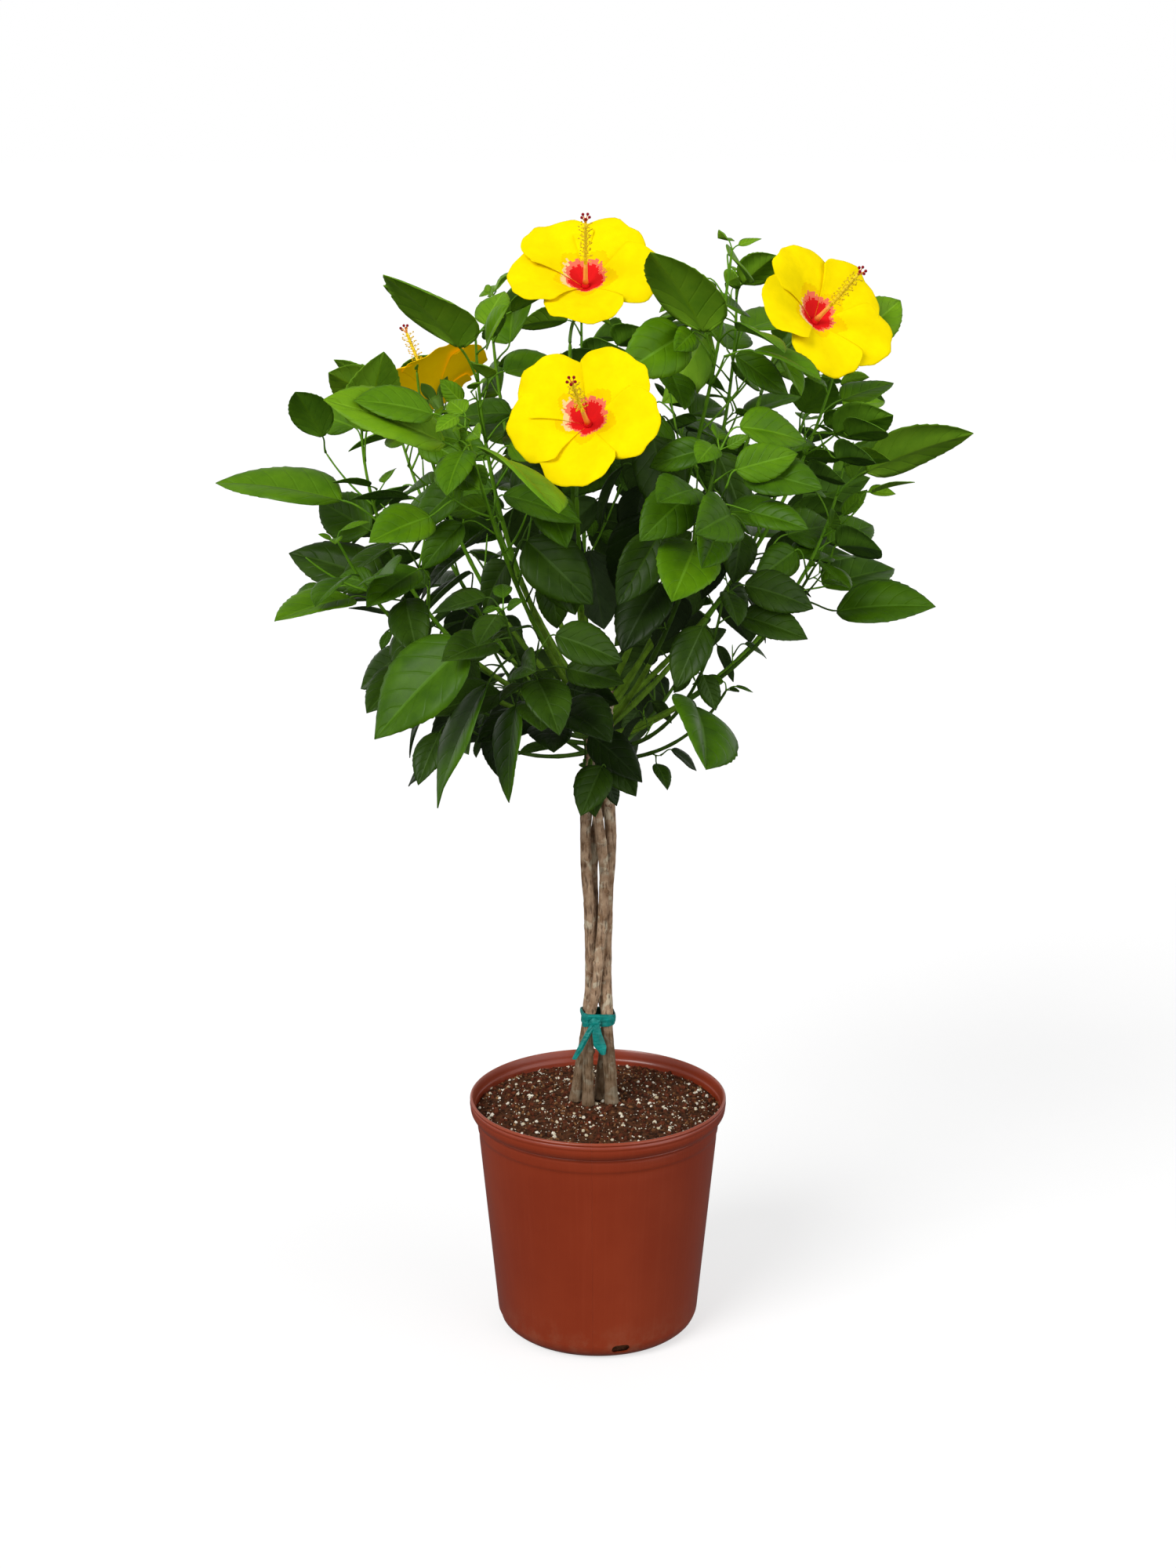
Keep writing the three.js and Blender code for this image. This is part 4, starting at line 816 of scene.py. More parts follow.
def along(path, distance):
    """Point and direction at a distance along a path, and the step it lies on."""
    for i in range(len(path) - 1):
        step = path[i + 1] - path[i]
        length = np.linalg.norm(step)
        if distance <= length or i == len(path) - 2:
            return path[i] + step * distance / length, step / length, i
        distance -= length


def up_to(path, distance):
    end, _, i = along(path, distance)
    return path[:i + 1] + [end]


def beyond(path, distance):
    start, _, i = along(path, distance)
    return [start] + path[i + 1:]


def bezier(a, b, c, d, count):
    t = np.linspace(0, 1, count)[:, None]
    return (1 - t) ** 3 * a + 3 * (1 - t) ** 2 * t * b + 3 * (1 - t) * t * t * c + t ** 3 * d


def stalk_of(bloom):
    """The stalk curves from the end of its shoot into the back of the bloom."""
    tip, forward, _ = along(path_of(bloom), bloom["length"])
    start = tip + forward * GAP
    first = start + forward * 4
    end = bloom["at"] - bloom["face"] * (BLOOM["depth"] + 10)
    span = np.linalg.norm(end - first)
    leave, arrive = first + forward * span * 0.4, end - bloom["face"] * span * 0.4
    return [start] + list(bezier(first, leave, arrive, end, 5))


def smoothed(path):
    """The path as one smooth curve through its points, with a point every few millimetres."""
    path = np.asarray(path)
    ends = np.vstack([2 * path[0] - path[1], path, 2 * path[-1] - path[-2]])
    out = []
    for i in range(len(path) - 1):
        a, b, c, d = ends[i:i + 4]
        count = max(2, int(np.linalg.norm(c - b) / PATH_GRAIN))
        for t in np.linspace(0, 1, count, endpoint=False):
            out.append(0.5 * (2 * b + (c - a) * t + (2 * a - 5 * b + 4 * c - d) * t * t
                              + (3 * b - a - 3 * c + d) * t ** 3))
    return np.array(out + [path[-1]])


def shoot_tube(path, first, last, sides, finish, knots, seed):
    """A limb along a smoothed path, tapering, with a swelling at every leaf it has borne."""
    path = smoothed(path)
    share = np.linspace(0, 1, len(path))
    radii = first + (last - first) * share
    run = share * len(path) * PATH_GRAIN
    radii = radii * (1 + knots * np.exp(-(((run + seed * 7) % KNOT_STEP - KNOT_STEP / 2) / 3) ** 2))
    radii[-1] *= 0.6
    return (*tube(path, radii, sides), finish)


bough_bark, tree, shader, place = surface("bough bark", Specular_IOR_Level=0.12)
group, bump = mottle(tree, shader, place, colour(106, 142, 34), colour(78, 110, 22), 70, 1500, 0.66, 0.1,
                     0.0003)
relieve(tree, shader, bump, streak(tree, place, (1, 1, 0.2), 500, 3), 0.0005)
green_bark = plain_surface("green bark", 0.15, colour(102, 150, 26), colour(80, 124, 16), 60, 1200, 0.5, 0.1,
                           0.0002)

every = rooted([{**SHOOT, **row} for row in SHOOTS] + [
    {**row, "at": np.array(row["at"], dtype=float), "face": unit(row["face"])} for row in BLOOMS])
shoots, blooms = every[:len(SHOOTS)], every[len(SHOOTS):]
limbs = []
for number, row in enumerate(shoots):
    if row["bare"] > 0:
        path = up_to(path_of(row), row["bare"] * row["length"])
        limbs.append(shoot_tube(path, *BARE_LIMB, number))
for number, row in enumerate(blooms):
    path = path_of(row)
    limbs.append(shoot_tube(up_to(path, row["length"] * 0.5), *BLOOM_LIMB_LOW, number))
    limbs.append(shoot_tube(beyond(path, row["length"] * 0.5 - 2), *BLOOM_LIMB_HIGH, number))
points, faces, finishes = joined(limbs)
boughs = mesh_object("boughs", points, faces, [bough_bark, green_bark], finishes)
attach(boughs, BODY)
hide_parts(*[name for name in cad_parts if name.startswith("bough_")])

# ---------------------------------------------------------------- leafy shoots and their leaves
# Leaves turn round each green shoot by the golden angle and side twigs bear more. A leaf
# keeps to its own shoot's space, clear of limbs and blooms, or is turned, shortened, skipped.
GOLDEN = 137.5
# the plain blade that clearances are tested with: share of its length, half width there
BLADE = [
    (0, 0.1), (0.06, 0.42), (0.16, 0.8), (0.28, 1), (0.46, 0.95), (0.66, 0.7), (0.82, 0.36), (0.93, 0.13),
    (1, 0),
]
HELD_BLADE = {"width": 0.62, "curl": math.radians(14), "fold": math.radians(12)}
LEAF_FLOOR = 548
SPACE_MARGIN = 3
LIMB_MARGIN = 4.5
LEAF_APART = 5
WOOD_APART = 4.5
ATTEMPTS = 8
SPUR_GAP = 110
SPUR_LEAF = 40
BUD_LEAF = 16
# which leaf it is: on the stem, on a twig, at the shoot's tip, or one of the last small ones
ON_STEM, ON_TWIG, AT_TIP, LAST = range(4)
HELD = 0
SAMPLE_T = np.array([1.0] + [(i + 0.5) / 9 for i in range(9) for _ in range(7)])
SAMPLE_SIDE = np.array([0.0] + [k / 3 for _ in range(9) for k in range(-3, 4)])


def draws(seed, index):
    """Seeded numbers from 0 to 1: the same seed and index always give the same run."""
    state = (seed * 2654435761 + index * 40503 + 12345) % 4294967296

    def following():
        nonlocal state
        state = (state * 1664525 + 1013904223) % 4294967296
        return state / 4294967296
    for _ in range(3):
        following()
    return following


def blade_points(leaf, t, side, half, lift=0.0):
    """Points on a blade that bends down along an arc, its halves folded up from the midrib."""
    bend = leaf["curl"] * t
    radius = leaf["length"] / leaf["curl"]
    across_leaf = np.cross(leaf["dir"], leaf["normal"])
    up = np.outer(np.cos(bend), leaf["normal"]) + np.outer(np.sin(bend), leaf["dir"])
    point = leaf["base"] + np.outer(radius * np.sin(bend), leaf["dir"])
    point = point - np.outer(radius * (1 - np.cos(bend)), leaf["normal"])
    point = point + np.outer(side * half * math.cos(leaf["fold"]), across_leaf)
    return point + up * (np.abs(side) * half * math.sin(leaf["fold"]) + lift)[:, None]


def gap_to(points, starts, runs):
    """Squared distance from each point to each segment."""
    off = points[:, None, :] - starts[None]
    t = np.clip((off * runs).sum(axis=2) / (runs * runs).sum(axis=1), 0, 1)
    off = off - t[..., None] * runs
    return (off * off).sum(axis=2)


def segments(paths):
    starts = np.array([a for path in paths for a in path[:-1]])
    ends = np.array([b for path in paths for b in path[1:]])
    return starts, ends - starts


stem_paths = [beyond(path_of(row), row["bare"] * row["length"] + GAP) for row in shoots]
stem_owner = np.array([i for i, path in enumerate(stem_paths) for _ in path[1:]])
stem_starts, stem_runs = segments(stem_paths)
limb_paths = [(up_to(path_of(row), row["bare"] * row["length"]), 3) for row in shoots if row["bare"] > 0]
for row in blooms:
    limb_paths += [(path_of(row), 3), (stalk_of(row), 3)]
for k in range(4):
    limb_paths.append(([np.array([*strands_at(z)[k], z]) for z in (480, 510, 540, BRAID_TOP, HEAD_TOP)],
                       strand_radius(k, 500)))
limb_starts, limb_runs = segments([path for path, _ in limb_paths])
limb_reach = np.array([(r + LIMB_MARGIN) ** 2 for path, r in limb_paths for _ in path[1:]])


def inside_bloom(points, bloom):
    off = points - bloom["at"]
    ahead = off @ bloom["face"]
    aside = np.linalg.norm(off - ahead[:, None] * bloom["face"], axis=1)
    dish = bloom["radius"] * np.interp(ahead, (-34, -4), (0.35, 1)) + 6
    room = np.where(ahead < 12, dish, bloom["radius"] * 1.15)
    return ((ahead > -34) & (ahead < BLOOM["room"]) & (aside < room)).any()


def is_free(i, points):
    if (points[:, 2] < LEAF_FLOOR).any():
        return False
    far = gap_to(points, stem_starts, stem_runs)
    own = stem_owner == i
    limit = (np.sqrt(far[:, own].min(axis=1)) + SPACE_MARGIN) ** 2
    if (far[:, ~own].min(axis=1) < limit).any():
        return False
    if (gap_to(points, limb_starts, limb_runs) < limb_reach).any():
        return False
    return not any(inside_bloom(points, bloom) for bloom in blooms)


def twig_from(node, forward, turn, length):
    """A side twig leaves its stem at an angle and lifts a little at each of its four steps."""
    u, v = square_to(forward)
    a = math.radians(turn)
    way = unit(u * math.cos(a) + v * math.sin(a) + forward * 0.9)
    twig = [node]
    for k in range(4):
        way = unit(way + np.array([0, 0, 0.14]))
        twig.append(twig[k] + way * length / 4)
    return twig


class Shoot:
    """One leafy shoot as it grows: its leaves, its twigs and the room they have taken."""

    def __init__(self, i):
        self.i, self.row, self.stem = i, shoots[i], stem_paths[i]
        self.leaves, self.twigs, self.spurs, self.index = [], [], [], 0
        self.taken = np.empty((0, 3))
        self.wood = [(a, b) for a, b in zip(self.stem, self.stem[1:])]

    def meets_own(self, points):
        if len(self.taken):
            off = points[:, None, :] - self.taken[None]
            if ((off * off).sum(axis=2) < LEAF_APART ** 2).any():
                return True
        starts = np.array([a for a, _ in self.wood])
        return (gap_to(points, starts, np.array([b for _, b in self.wood]) - starts) < WOOD_APART ** 2).any()

    def bear(self, node, forward, turn, length, age, order):
        self.index += 1
        r = draws(self.row["seed"], self.index)
        u, v = square_to(forward)
        width = 0.52 + 0.13 * r()
        curl = math.radians(6 + 22 * r())
        fold = math.radians(8 + 12 * r())
        stalk = length * (0.26 + 0.22 * r())
        lean = 0.4 + 0.5 * r()
        out = np.array([node[0], node[1], 0]) / (math.hypot(node[0], node[1]) + 40)
        for attempt in range(ATTEMPTS):
            a = math.radians(turn + (r() - 0.5) * (50 + 45 * attempt))
            side = u * math.cos(a) + v * math.sin(a)
            base = node + unit(side + forward * lean) * stalk
            go = side + forward * 0.35 + out * 0.5
            pitch = 12 + 28 * age - self.row["droop"] * (1 - age) + (r() - 0.5) * 44 - attempt * 4
            way = heading(math.atan2(go[1], go[0]), math.radians(max(-82, pitch)))
            tilt = out * 0.6 + np.array([0, 0, 0.6])
            tilt = tilt + np.array([(r() - 0.5) * 0.7, (r() - 0.5) * 0.7, (r() - 0.5) * 0.4])
            normal = tilt - way * tilt.dot(way)
            fit = length * (1 - 0.05 * attempt)
            leaf = {"node": node, "forward": forward, "base": base, "dir": way, "length": fit,
                    "width": fit * width, "curl": curl, "fold": fold, "age": age, "order": order,
                    "number": self.index}
            if np.linalg.norm(normal) < 0.15:
                continue
            leaf["normal"] = unit(normal)
            if self.place(leaf):
                return

    def hold(self, share, az, pitch, roll, length):
        """A large leaf that holds its own heading, rise and roll, in degrees."""
        node, forward, _ = along(self.stem, share * self.row["length"] * (1 - self.row["bare"]))
        way = heading(math.radians(az), math.radians(pitch))
        base = node + unit(way + forward * 0.4) * length * 0.34
        out = np.array([node[0], node[1], 0]) / (math.hypot(node[0], node[1]) + 40)
        tilt = out * 0.6 + np.array([0, 0, 0.6])
        flat = unit(tilt - way * tilt.dot(way))
        a = math.radians(roll)
        leaf = {**HELD_BLADE, "node": node, "forward": forward, "base": base, "dir": way, "length": length,
                "normal": flat * math.cos(a) + np.cross(way, flat) * math.sin(a),
                "width": length * HELD_BLADE["width"], "age": self.row["young"] * share, "order": ON_STEM,
                "number": HELD}
        self.place(leaf)

    def place(self, leaf):
        """Keep the leaf if its blade and its stalk are clear of everything that has grown."""
        half = np.interp(SAMPLE_T, [row[0] for row in BLADE], [row[1] for row in BLADE]) * leaf["width"] / 2
        points = blade_points(leaf, SAMPLE_T, SAMPLE_SIDE, half)
        if self.meets_own(points):
            return False
        stalk_points = [leaf["node"] + (leaf["base"] - leaf["node"]) * share for share in (0.4, 0.75)]
        if not is_free(self.i, np.vstack([points, stalk_points])):
            return False
        self.taken = np.vstack([self.taken, points])
        self.leaves.append(leaf)
        return True

    def grow(self):
        row = self.row
        reach = row["length"] * (1 - row["bare"])
        for held in row["large"]:
            self.hold(*held)
        turn, k, d = 0.0, 0, row["gap"] * 0.7
        while d < reach - 6:
            node, forward, _ = along(self.stem, d)
            share = d / reach
            age = row["young"] * share
            r = draws(row["seed"], 1000 + k)
            length = row["leaf"] * (1 - 0.42 * share * share) * (0.84 + 0.32 * r())
            self.bear(node, forward, turn, length, age, ON_STEM)
            if k % 2 == 1 and share < 0.75:
                bearing = turn + 180 + (r() - 0.5) * 60
                span = row["twig"] * (0.7 + 0.6 * r()) * (1 - 0.4 * share)
                self.branch(node, forward, bearing, span, turn, length, age)
            turn += GOLDEN
            d += row["gap"] * (1 - 0.3 * share)
            k += 1
        tip, forward, _ = along(self.stem, reach - 2)
        for n in range(2):
            self.bear(tip, forward, turn + n * 150, row["leaf"] * (0.5 + 0.25 * n), row["young"], AT_TIP)

    def branch(self, node, forward, bearing, span, turn, length, age):
        twig = twig_from(node, forward, bearing, span)
        middles = [(a + b) / 2 for a, b in zip(twig, twig[1:])]
        if len(self.taken):
            off = np.array(middles)[:, None, :] - self.taken[None]
            if ((off * off).sum(axis=2) < LEAF_APART ** 2).any():
                return
        if not is_free(self.i, np.array(twig[1:] + middles[1:])):
            return
        self.twigs.append(twig)
        self.wood += list(zip(twig, twig[1:]))
        count = max(2, math.floor(span / 22 + 0.5))
        for n in range(count):
            bud, way, _ = along(twig, span * (0.3 + 0.68 * n / (count - 1)))
            smaller, younger = 0.95 - 0.25 * n / count, min(1, age + 0.25 * n / count)
            self.bear(bud, way, turn + 90 + n * GOLDEN, length * smaller, younger, ON_TWIG)

    def spur(self, path, at, turn, age, length):
        """A fine short twig with two small leaves, where the space still has room for it."""
        node, forward, _ = along(path, at)
        twig = twig_from(node, forward, turn, length * 0.45)
        if not is_free(self.i, np.array(twig[1:])):
            return
        before = len(self.leaves)
        for n in range(2):
            bud, way, _ = along(twig, length * (0.22 + 0.22 * n))
            self.bear(bud, way, turn + 160 * n, length * (0.85 + 0.15 * n), age, LAST)
        if len(self.leaves) > before:
            self.spurs.append(twig)

    def carry_on(self):
        """The same rule once more on stem and twigs: spurs, then the young leaves of the tip."""
        row, chance = self.row, draws(self.row["seed"], 4000)
        reach = row["length"] * (1 - row["bare"])
        for path, span in [(self.stem, reach)] + [(twig, row["twig"] * 0.7) for twig in self.twigs]:
            at = SPUR_GAP * (0.4 + 0.5 * chance())
            while at < span - 4:
                age = row["young"] * (0.3 + 0.7 * at / span)
                self.spur(path, at, 360 * chance(), age, SPUR_LEAF * (0.75 + 0.5 * chance()))
                at += SPUR_GAP
        tip, forward, _ = along(self.stem, reach - 1)
        for n in range(3):
            turn = 120 * n + 60 * chance()
            self.bear(tip, forward, turn, BUD_LEAF * (0.8 + 0.5 * n), row["young"] + 0.15, LAST)


grown_shoots = [Shoot(i) for i in range(len(shoots))]
for shoot in grown_shoots:
    shoot.grow()
for shoot in grown_shoots:
    shoot.carry_on()
    shoot.leaves = [leaf for leaf in shoot.leaves if leaf["number"] not in shoot.row["fallen"]]

# each finish is one plain pair of tones, light and dark, with its gloss
TONES = {
    "deep": (colour(32, 52, 9), colour(23, 40, 6), 0.4),
    "old": (colour(51, 79, 11), colour(38, 63, 8), 0.4),
    "full": (colour(68, 107, 6), colour(52, 88, 4), 0.42),
    "young": (colour(88, 131, 7), colour(70, 112, 5), 0.45),
    "fresh": (colour(110, 153, 16), colour(92, 137, 10), 0.48),
}
TONE_STEPS = (0.22, 0.38, 0.6, 0.84)
# painted light: each large held leaf is given a tone one step lighter
HELD_PAINTED_LIGHT = 0.22
VEIN_DEPTH = 0.00045
BIG_LEAF = {"over": 52, "teeth": 6, "wall": 0.45,
            "across": (-1, -0.82, -0.55, -0.28, -0.045, 0.045, 0.28, 0.55, 0.82, 1)}
SMALL_LEAF = {"teeth": 4, "wall": 0.4, "across": (-1, -0.55, -0.06, 0.06, 0.55, 1)}

# side veins: a fine groove at each vein, and the skin a little domed between, along the blade
veins, veins_in, veins_out = shader_group("side veins", {"Spot": ("Vector", None)}, {"Height": "Float"})
spot = split(veins, veins_in.outputs["Spot"])
off = maths(veins, "ABSOLUTE", maths(veins, "SUBTRACT", spot[0], 0.5))
phase = maths(veins, "SUBTRACT", maths(veins, "MULTIPLY", spot[1], 6.0), maths(veins, "MULTIPLY", off, 3.6))
ridge = maths(veins, "ABSOLUTE", maths(veins, "SUBTRACT", maths(veins, "FRACT", phase), 0.5))
groove = mask(veins, ridge, 0.4, 0.5, interpolation_type="SMOOTHSTEP")
dome = maths(veins, "MULTIPLY", maths(veins, "MULTIPLY", ridge, ridge), -1.6)
height = maths(veins, "SUBTRACT", dome, maths(veins, "MULTIPLY", groove, 0.5))
veins.links.new(height, veins_out.inputs["Height"])


def leaf_finish(name, light, dark, gloss, depth):
    """Smooth skin over the side veins, their relief of that depth in metres."""
    made, tree, shader, place = surface(name, Specular_IOR_Level=0.13)
    group, bump = mottle(tree, shader, place, light, dark, 38, 700, gloss, 0.12, 0.00008)
    veined = put(tree, "ShaderNodeGroup", {"Spot": put(tree, "ShaderNodeUVMap", uv_map="leaf").outputs[0]},
                 node_tree=veins)
    relieve(tree, shader, bump, veined.outputs["Height"], depth)
    return made


# half width of a blade along its length: full and round, with a short point
OUTLINE = [
    (0, 0.1), (0.03, 0.36), (0.08, 0.66), (0.16, 0.92), (0.28, 1.08), (0.42, 1.1), (0.56, 1.0), (0.7, 0.8),
    (0.82, 0.54), (0.91, 0.3), (0.97, 0.1), (1, 0),
]
outline_at = np.linspace(0, 1, 201)
outline_half = np.interp(outline_at, [row[0] for row in OUTLINE], [row[1] for row in OUTLINE])
window = np.hanning(15)
outline_half = np.convolve(np.pad(outline_half, 7, mode="edge"), window / window.sum(), "valid")


def blade_grid(leaf, teeth, across_at, wall):
    """Points, quads, finishes and places of one leaf: two skins and a thin rim, few low teeth."""
    r = draws(int(leaf["length"] * 1000) % 9973, 7)
    wave, phase, twist, cup = 0.6 + 2.2 * r(), FULL_TURN * r(), (r() - 0.5) * 0.6, 0.5 + 0.9 * r()
    rows, bite = [(at, 0) for at in (0, 0.03, 0.08, 0.15, 0.23, 0.32, 0.41)], 0.5 / teeth
    for k in range(teeth):
        at = 0.48 + k * bite
        rows += [(at, -0.012), (at + 0.8 * bite, 0.03)]
    rows.append((1, 0))
    t, tooth = np.array([row[0] for row in rows]), np.array([row[1] for row in rows])
    half = np.interp(t, outline_at, outline_half) * leaf["width"] / 2
    half[-1] = 0.2
    s = np.array(across_at)
    tt, ss = np.repeat(t, len(s)), np.tile(s, len(t))
    reach = np.repeat(half, len(s)) * (1 + np.repeat(tooth, len(s)) * np.abs(ss) ** 3)
    size_share = leaf["length"] / 90
    lift = size_share * wave * np.sin(5.5 * tt + phase + 1.3 * np.sign(ss)) * ss ** 2 * np.sin(math.pi * tt)
    lift = lift + cup * 0.1 * reach * np.sin(math.pi * np.abs(ss)) - 0.06 * reach * ss ** 4
    lift = lift + twist * ss * np.abs(ss) * reach * 0.4 * tt - 0.5 * size_share * (np.abs(ss) < 0.1)
    top = blade_points(leaf, tt, ss, reach, lift)
    under = blade_points(leaf, tt, ss, reach, lift - wall)
    n, m, count = len(t), len(s), len(top)
    i, j = np.meshgrid(np.arange(n - 1), np.arange(m - 1), indexing="ij")
    a = (i * m + j).ravel()
    rib = np.abs(s[:-1] + s[1:])[j.ravel()] < 0.01
    upper = np.stack([a, a + 1, a + m + 1, a + m], axis=1)
    lower = np.stack([a, a + m, a + m + 1, a + 1], axis=1) + count
    k = np.arange(n - 1) * m
    left = np.stack([k, k + m, k + m + count, k + count], axis=1)
    right = np.stack([k + m - 1, k + m - 1 + count, k + 2 * m - 1 + count, k + 2 * m - 1], axis=1)
    q = np.arange(m - 1)
    root = np.stack([q, q + count, q + 1 + count, q + 1], axis=1)
    tip = np.stack([q, q + 1, q + 1 + count, q + count], axis=1) + (n - 1) * m
    quads = np.vstack([upper, lower, left, right, root, tip])
    rim_faces = 2 * (n - 1) + 2 * (m - 1)
    finish = np.concatenate([np.where(rib, 2, 0), np.where(rib, 2, 1), np.ones(rim_faces, int)])
    flat = np.concatenate([np.zeros(len(upper) + len(lower), bool), np.ones(rim_faces, bool)])
    spots = np.tile(np.stack([ss * 0.5 + 0.5, tt], axis=1), (2, 1))
    return np.vstack([top, under]), quads, finish, flat, spots


def toned(tone, by, more):
    """A tone made lighter by a factor and a little more."""
    return tuple(by * c + more for c in tone[:3]) + (1,)


def sharpen(piece, faces):
    """Mark the given faces as flat, with sharp edges."""
    sharp = piece.data.attributes.new("sharp_face", "BOOLEAN", "FACE")
    sharp.data.foreach_set("value", faces)


def leaf_piece(name, leaves, tone):
    """All leaves of one tone as one piece, each with its own patch of the map for its skins."""
    light, dark, gloss = TONES[tone]
    finishes = [
        leaf_finish(f"{tone} leaf", light, dark, gloss, VEIN_DEPTH),
        # the undersides are paler: partly their own paler green, partly painted light standing in for light
        # shining through the leaf
        leaf_finish(f"{tone} leaf underside", toned(light, 1.2, 0.01), toned(dark, 1.2, 0.008), 0.6,
                    VEIN_DEPTH),
        leaf_finish(f"{tone} midrib", toned(light, 1.25, 0.012), light, 0.45, 0)]
    cells = math.ceil(math.sqrt(2 * len(leaves)))
    points, quads, spots, flats, local, patch, start = [], [], [], [], [], [], 0
    for number, leaf in enumerate(leaves):
        kind = BIG_LEAF if leaf["length"] > BIG_LEAF["over"] else SMALL_LEAF
        grid = blade_grid(leaf, kind["teeth"], kind["across"], kind["wall"])
        half = len(grid[0]) // 2
        points.append(grid[0])
        quads.append(grid[1] + start)
        spots.append(grid[2])
        flats.append(grid[3])
        local.append(grid[4])
        cell = np.array([divmod(2 * number + skin, cells)[::-1] for skin in (0, 1)])
        patch.append((np.repeat(cell, half, axis=0) + 0.04 + 0.92 * grid[4]) / cells)
        start += len(grid[0])
    piece = mesh_object(name, np.vstack(points), np.vstack(quads), finishes, np.concatenate(spots),
                        uv={"leaf": np.vstack(local), "OFBake": np.vstack(patch)})
    sharpen(piece, np.concatenate(flats))
    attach(piece, BODY)
    return piece


sprays = {tone: [] for tone in TONES}
for shoot in grown_shoots:
    for leaf in shoot.leaves:
        # a leaf's tone follows its age, and depth here is its distance out from the trunk's axis: leaves near
        # the middle of the crown and low down are painted darker and those far out and high up lighter, as
        # painted shade and painted light
        depth = math.hypot(leaf["base"][0], leaf["base"][1]) / 300
        tone_age_and_painted_light = leaf["age"] * 0.75 + 0.25 * min(1, depth) + 0.25 * max(0, leaf["base"][2] - 800) / 250
        tone_age_and_painted_light += 0.08 * (draws(int(leaf["length"] * 77), 3)() - 0.5) + (0.06 if leaf["order"] == LAST else 0)
        tone_age_and_painted_light += HELD_PAINTED_LIGHT if leaf["number"] == HELD else 0
        sprays[list(TONES)[int(np.digitize(tone_age_and_painted_light, TONE_STEPS))]].append(leaf)
leaf_pieces = [leaf_piece(f"leaves_{tone}", some, tone) for tone, some in sprays.items() if some]

young_shoot = plain_surface("young shoot", 0.15, colour(102, 150, 26), colour(80, 128, 16), 50, 1200, 0.5,
                            0.1, 0.00012)
old_shoot = plain_surface("older shoot", 0.12, colour(70, 104, 26), colour(54, 82, 20), 50, 1200, 0.55, 0.1,
                          0.0002)
# of each kind of green limb: radius at its foot and at its end, and sides
STEM_LIMB = (2.3, 1.1, 10)
TWIG_LIMB = (1.15, 0.75, 7)
SPUR_LIMB = (0.8, 0.55, 6)
STALK_SWELL = np.array([1.5, 1.1, 0.95, 0.9, 0.9, 0.9, 0.95, 0.7])
wood = []
for number, shoot in enumerate(grown_shoots):
    green = 0 if shoot.row["young"] > 0.45 else 1
    wood.append(shoot_tube(shoot.stem, *STEM_LIMB, green, 0.14, number))
    for twig in shoot.twigs:
        wood.append(shoot_tube(twig, *TWIG_LIMB, green, 0.12, number))
    for spur in shoot.spurs:
        wood.append(shoot_tube(spur, *SPUR_LIMB, 0, 0, number))
    for leaf in shoot.leaves:
        node, base = leaf["node"], leaf["base"]
        span = np.linalg.norm(base - node)
        start = node + unit(base - node + leaf["forward"] * span * 0.3) * span * 0.45
        end = base - leaf["dir"] * span * 0.35 + np.array([0, 0, 0.04 * span])
        path = bezier(node, start, end, base + leaf["dir"] * 1.5, 8)
        thick = 0.6 + 0.45 * leaf["length"] / 100
        wood.append((*tube(path, thick * STALK_SWELL, 6), 0 if leaf["age"] > 0.3 else 1))
points, faces, finishes = joined(wood)
shoot_wood = mesh_object("shoots_and_stalks", points, faces, [young_shoot, old_shoot], finishes)
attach(shoot_wood, BODY)
masses = [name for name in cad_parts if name.startswith("foliage_")]
for piece in leaf_pieces + [shoot_wood]:
    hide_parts(*masses)

# ---------------------------------------------------------------- blooms
# Five thin ruffled petals overlap round a deep red throat, and a long column with anthers and
# five pads stands out of it. Green sepals hold them on a stalk that ends one of the shoots.
PETAL = {"rows": 40, "columns": 25, "wall": 0.4, "notch": 0.26, "ruffle": 3.4, "overlap": 2.4}
PETAL_SPREAD = [(0, 43), (0.25, 44), (0.6, 45), (0.85, 46), (1, 43)]
COLUMN = {"foot": 4.4, "neck": 1.35, "anthers": 62, "first": 0.42, "filament": 5.2, "pads": 5}


def plain_finish(name, tone, gloss, spec, patch=60, painted_glow=0.0):
    """A soft finish with only a breath of mottling; a painted shine of its own, if given, stands in for the
    light that shines through a thin petal."""
    made, tree, shader, place = surface(name, Specular_IOR_Level=spec, Emission_Color=tone,
                                        Emission_Strength=painted_glow)
    mottle(tree, shader, place, tone, toned(tone, 0.9, 0), patch, 900, gloss, 0.08, 0.0001)
    return made


BLOOM_FINISHES = [
    plain_finish("petal yellow", colour(255, 229, 0), 0.8, 0.03),
    plain_finish("petal throat yellow", colour(250, 212, 0), 0.8, 0.03),
    plain_finish("petal cream", colour(252, 216, 150), 0.75, 0.08),
    plain_finish("petal pink", colour(244, 116, 92), 0.75, 0.08),
    plain_finish("petal red eye", colour(226, 30, 32), 0.8, 0.03),
    # the rear bloom's deeper gold is painted shade, and the light it gives off is painted light shining
    # through its petals
    plain_finish("rear petal gold, painted shade and light", colour(236, 190, 0), 0.75, 0.05, painted_glow=0.24),
    plain_finish("column yellow", colour(255, 224, 50), 0.6, 0.08),
    plain_finish("column orange", colour(255, 176, 84), 0.6, 0.08),
    plain_finish("anther", colour(244, 206, 40), 0.9, 0.05, 400),
    plain_finish("stigma pad", colour(150, 14, 30), 0.8, 0.1, 400),
    plain_finish("sepal green", colour(104, 146, 44), 0.55, 0.3),
    plain_finish("bloom stalk green", colour(92, 134, 40), 0.5, 0.35),
]
YELLOW, THROAT, CREAM, PINK, RED, GOLD, COLUMN_YELLOW, COLUMN_ORANGE, ANTHER, PAD, SEPAL, STALK = range(12)


def bloom_frame(bloom):
    """The bloom's own axes: two square to its face, and the face itself."""
    u, v = square_to(bloom["face"])
    return np.array([u, v, bloom["face"]])


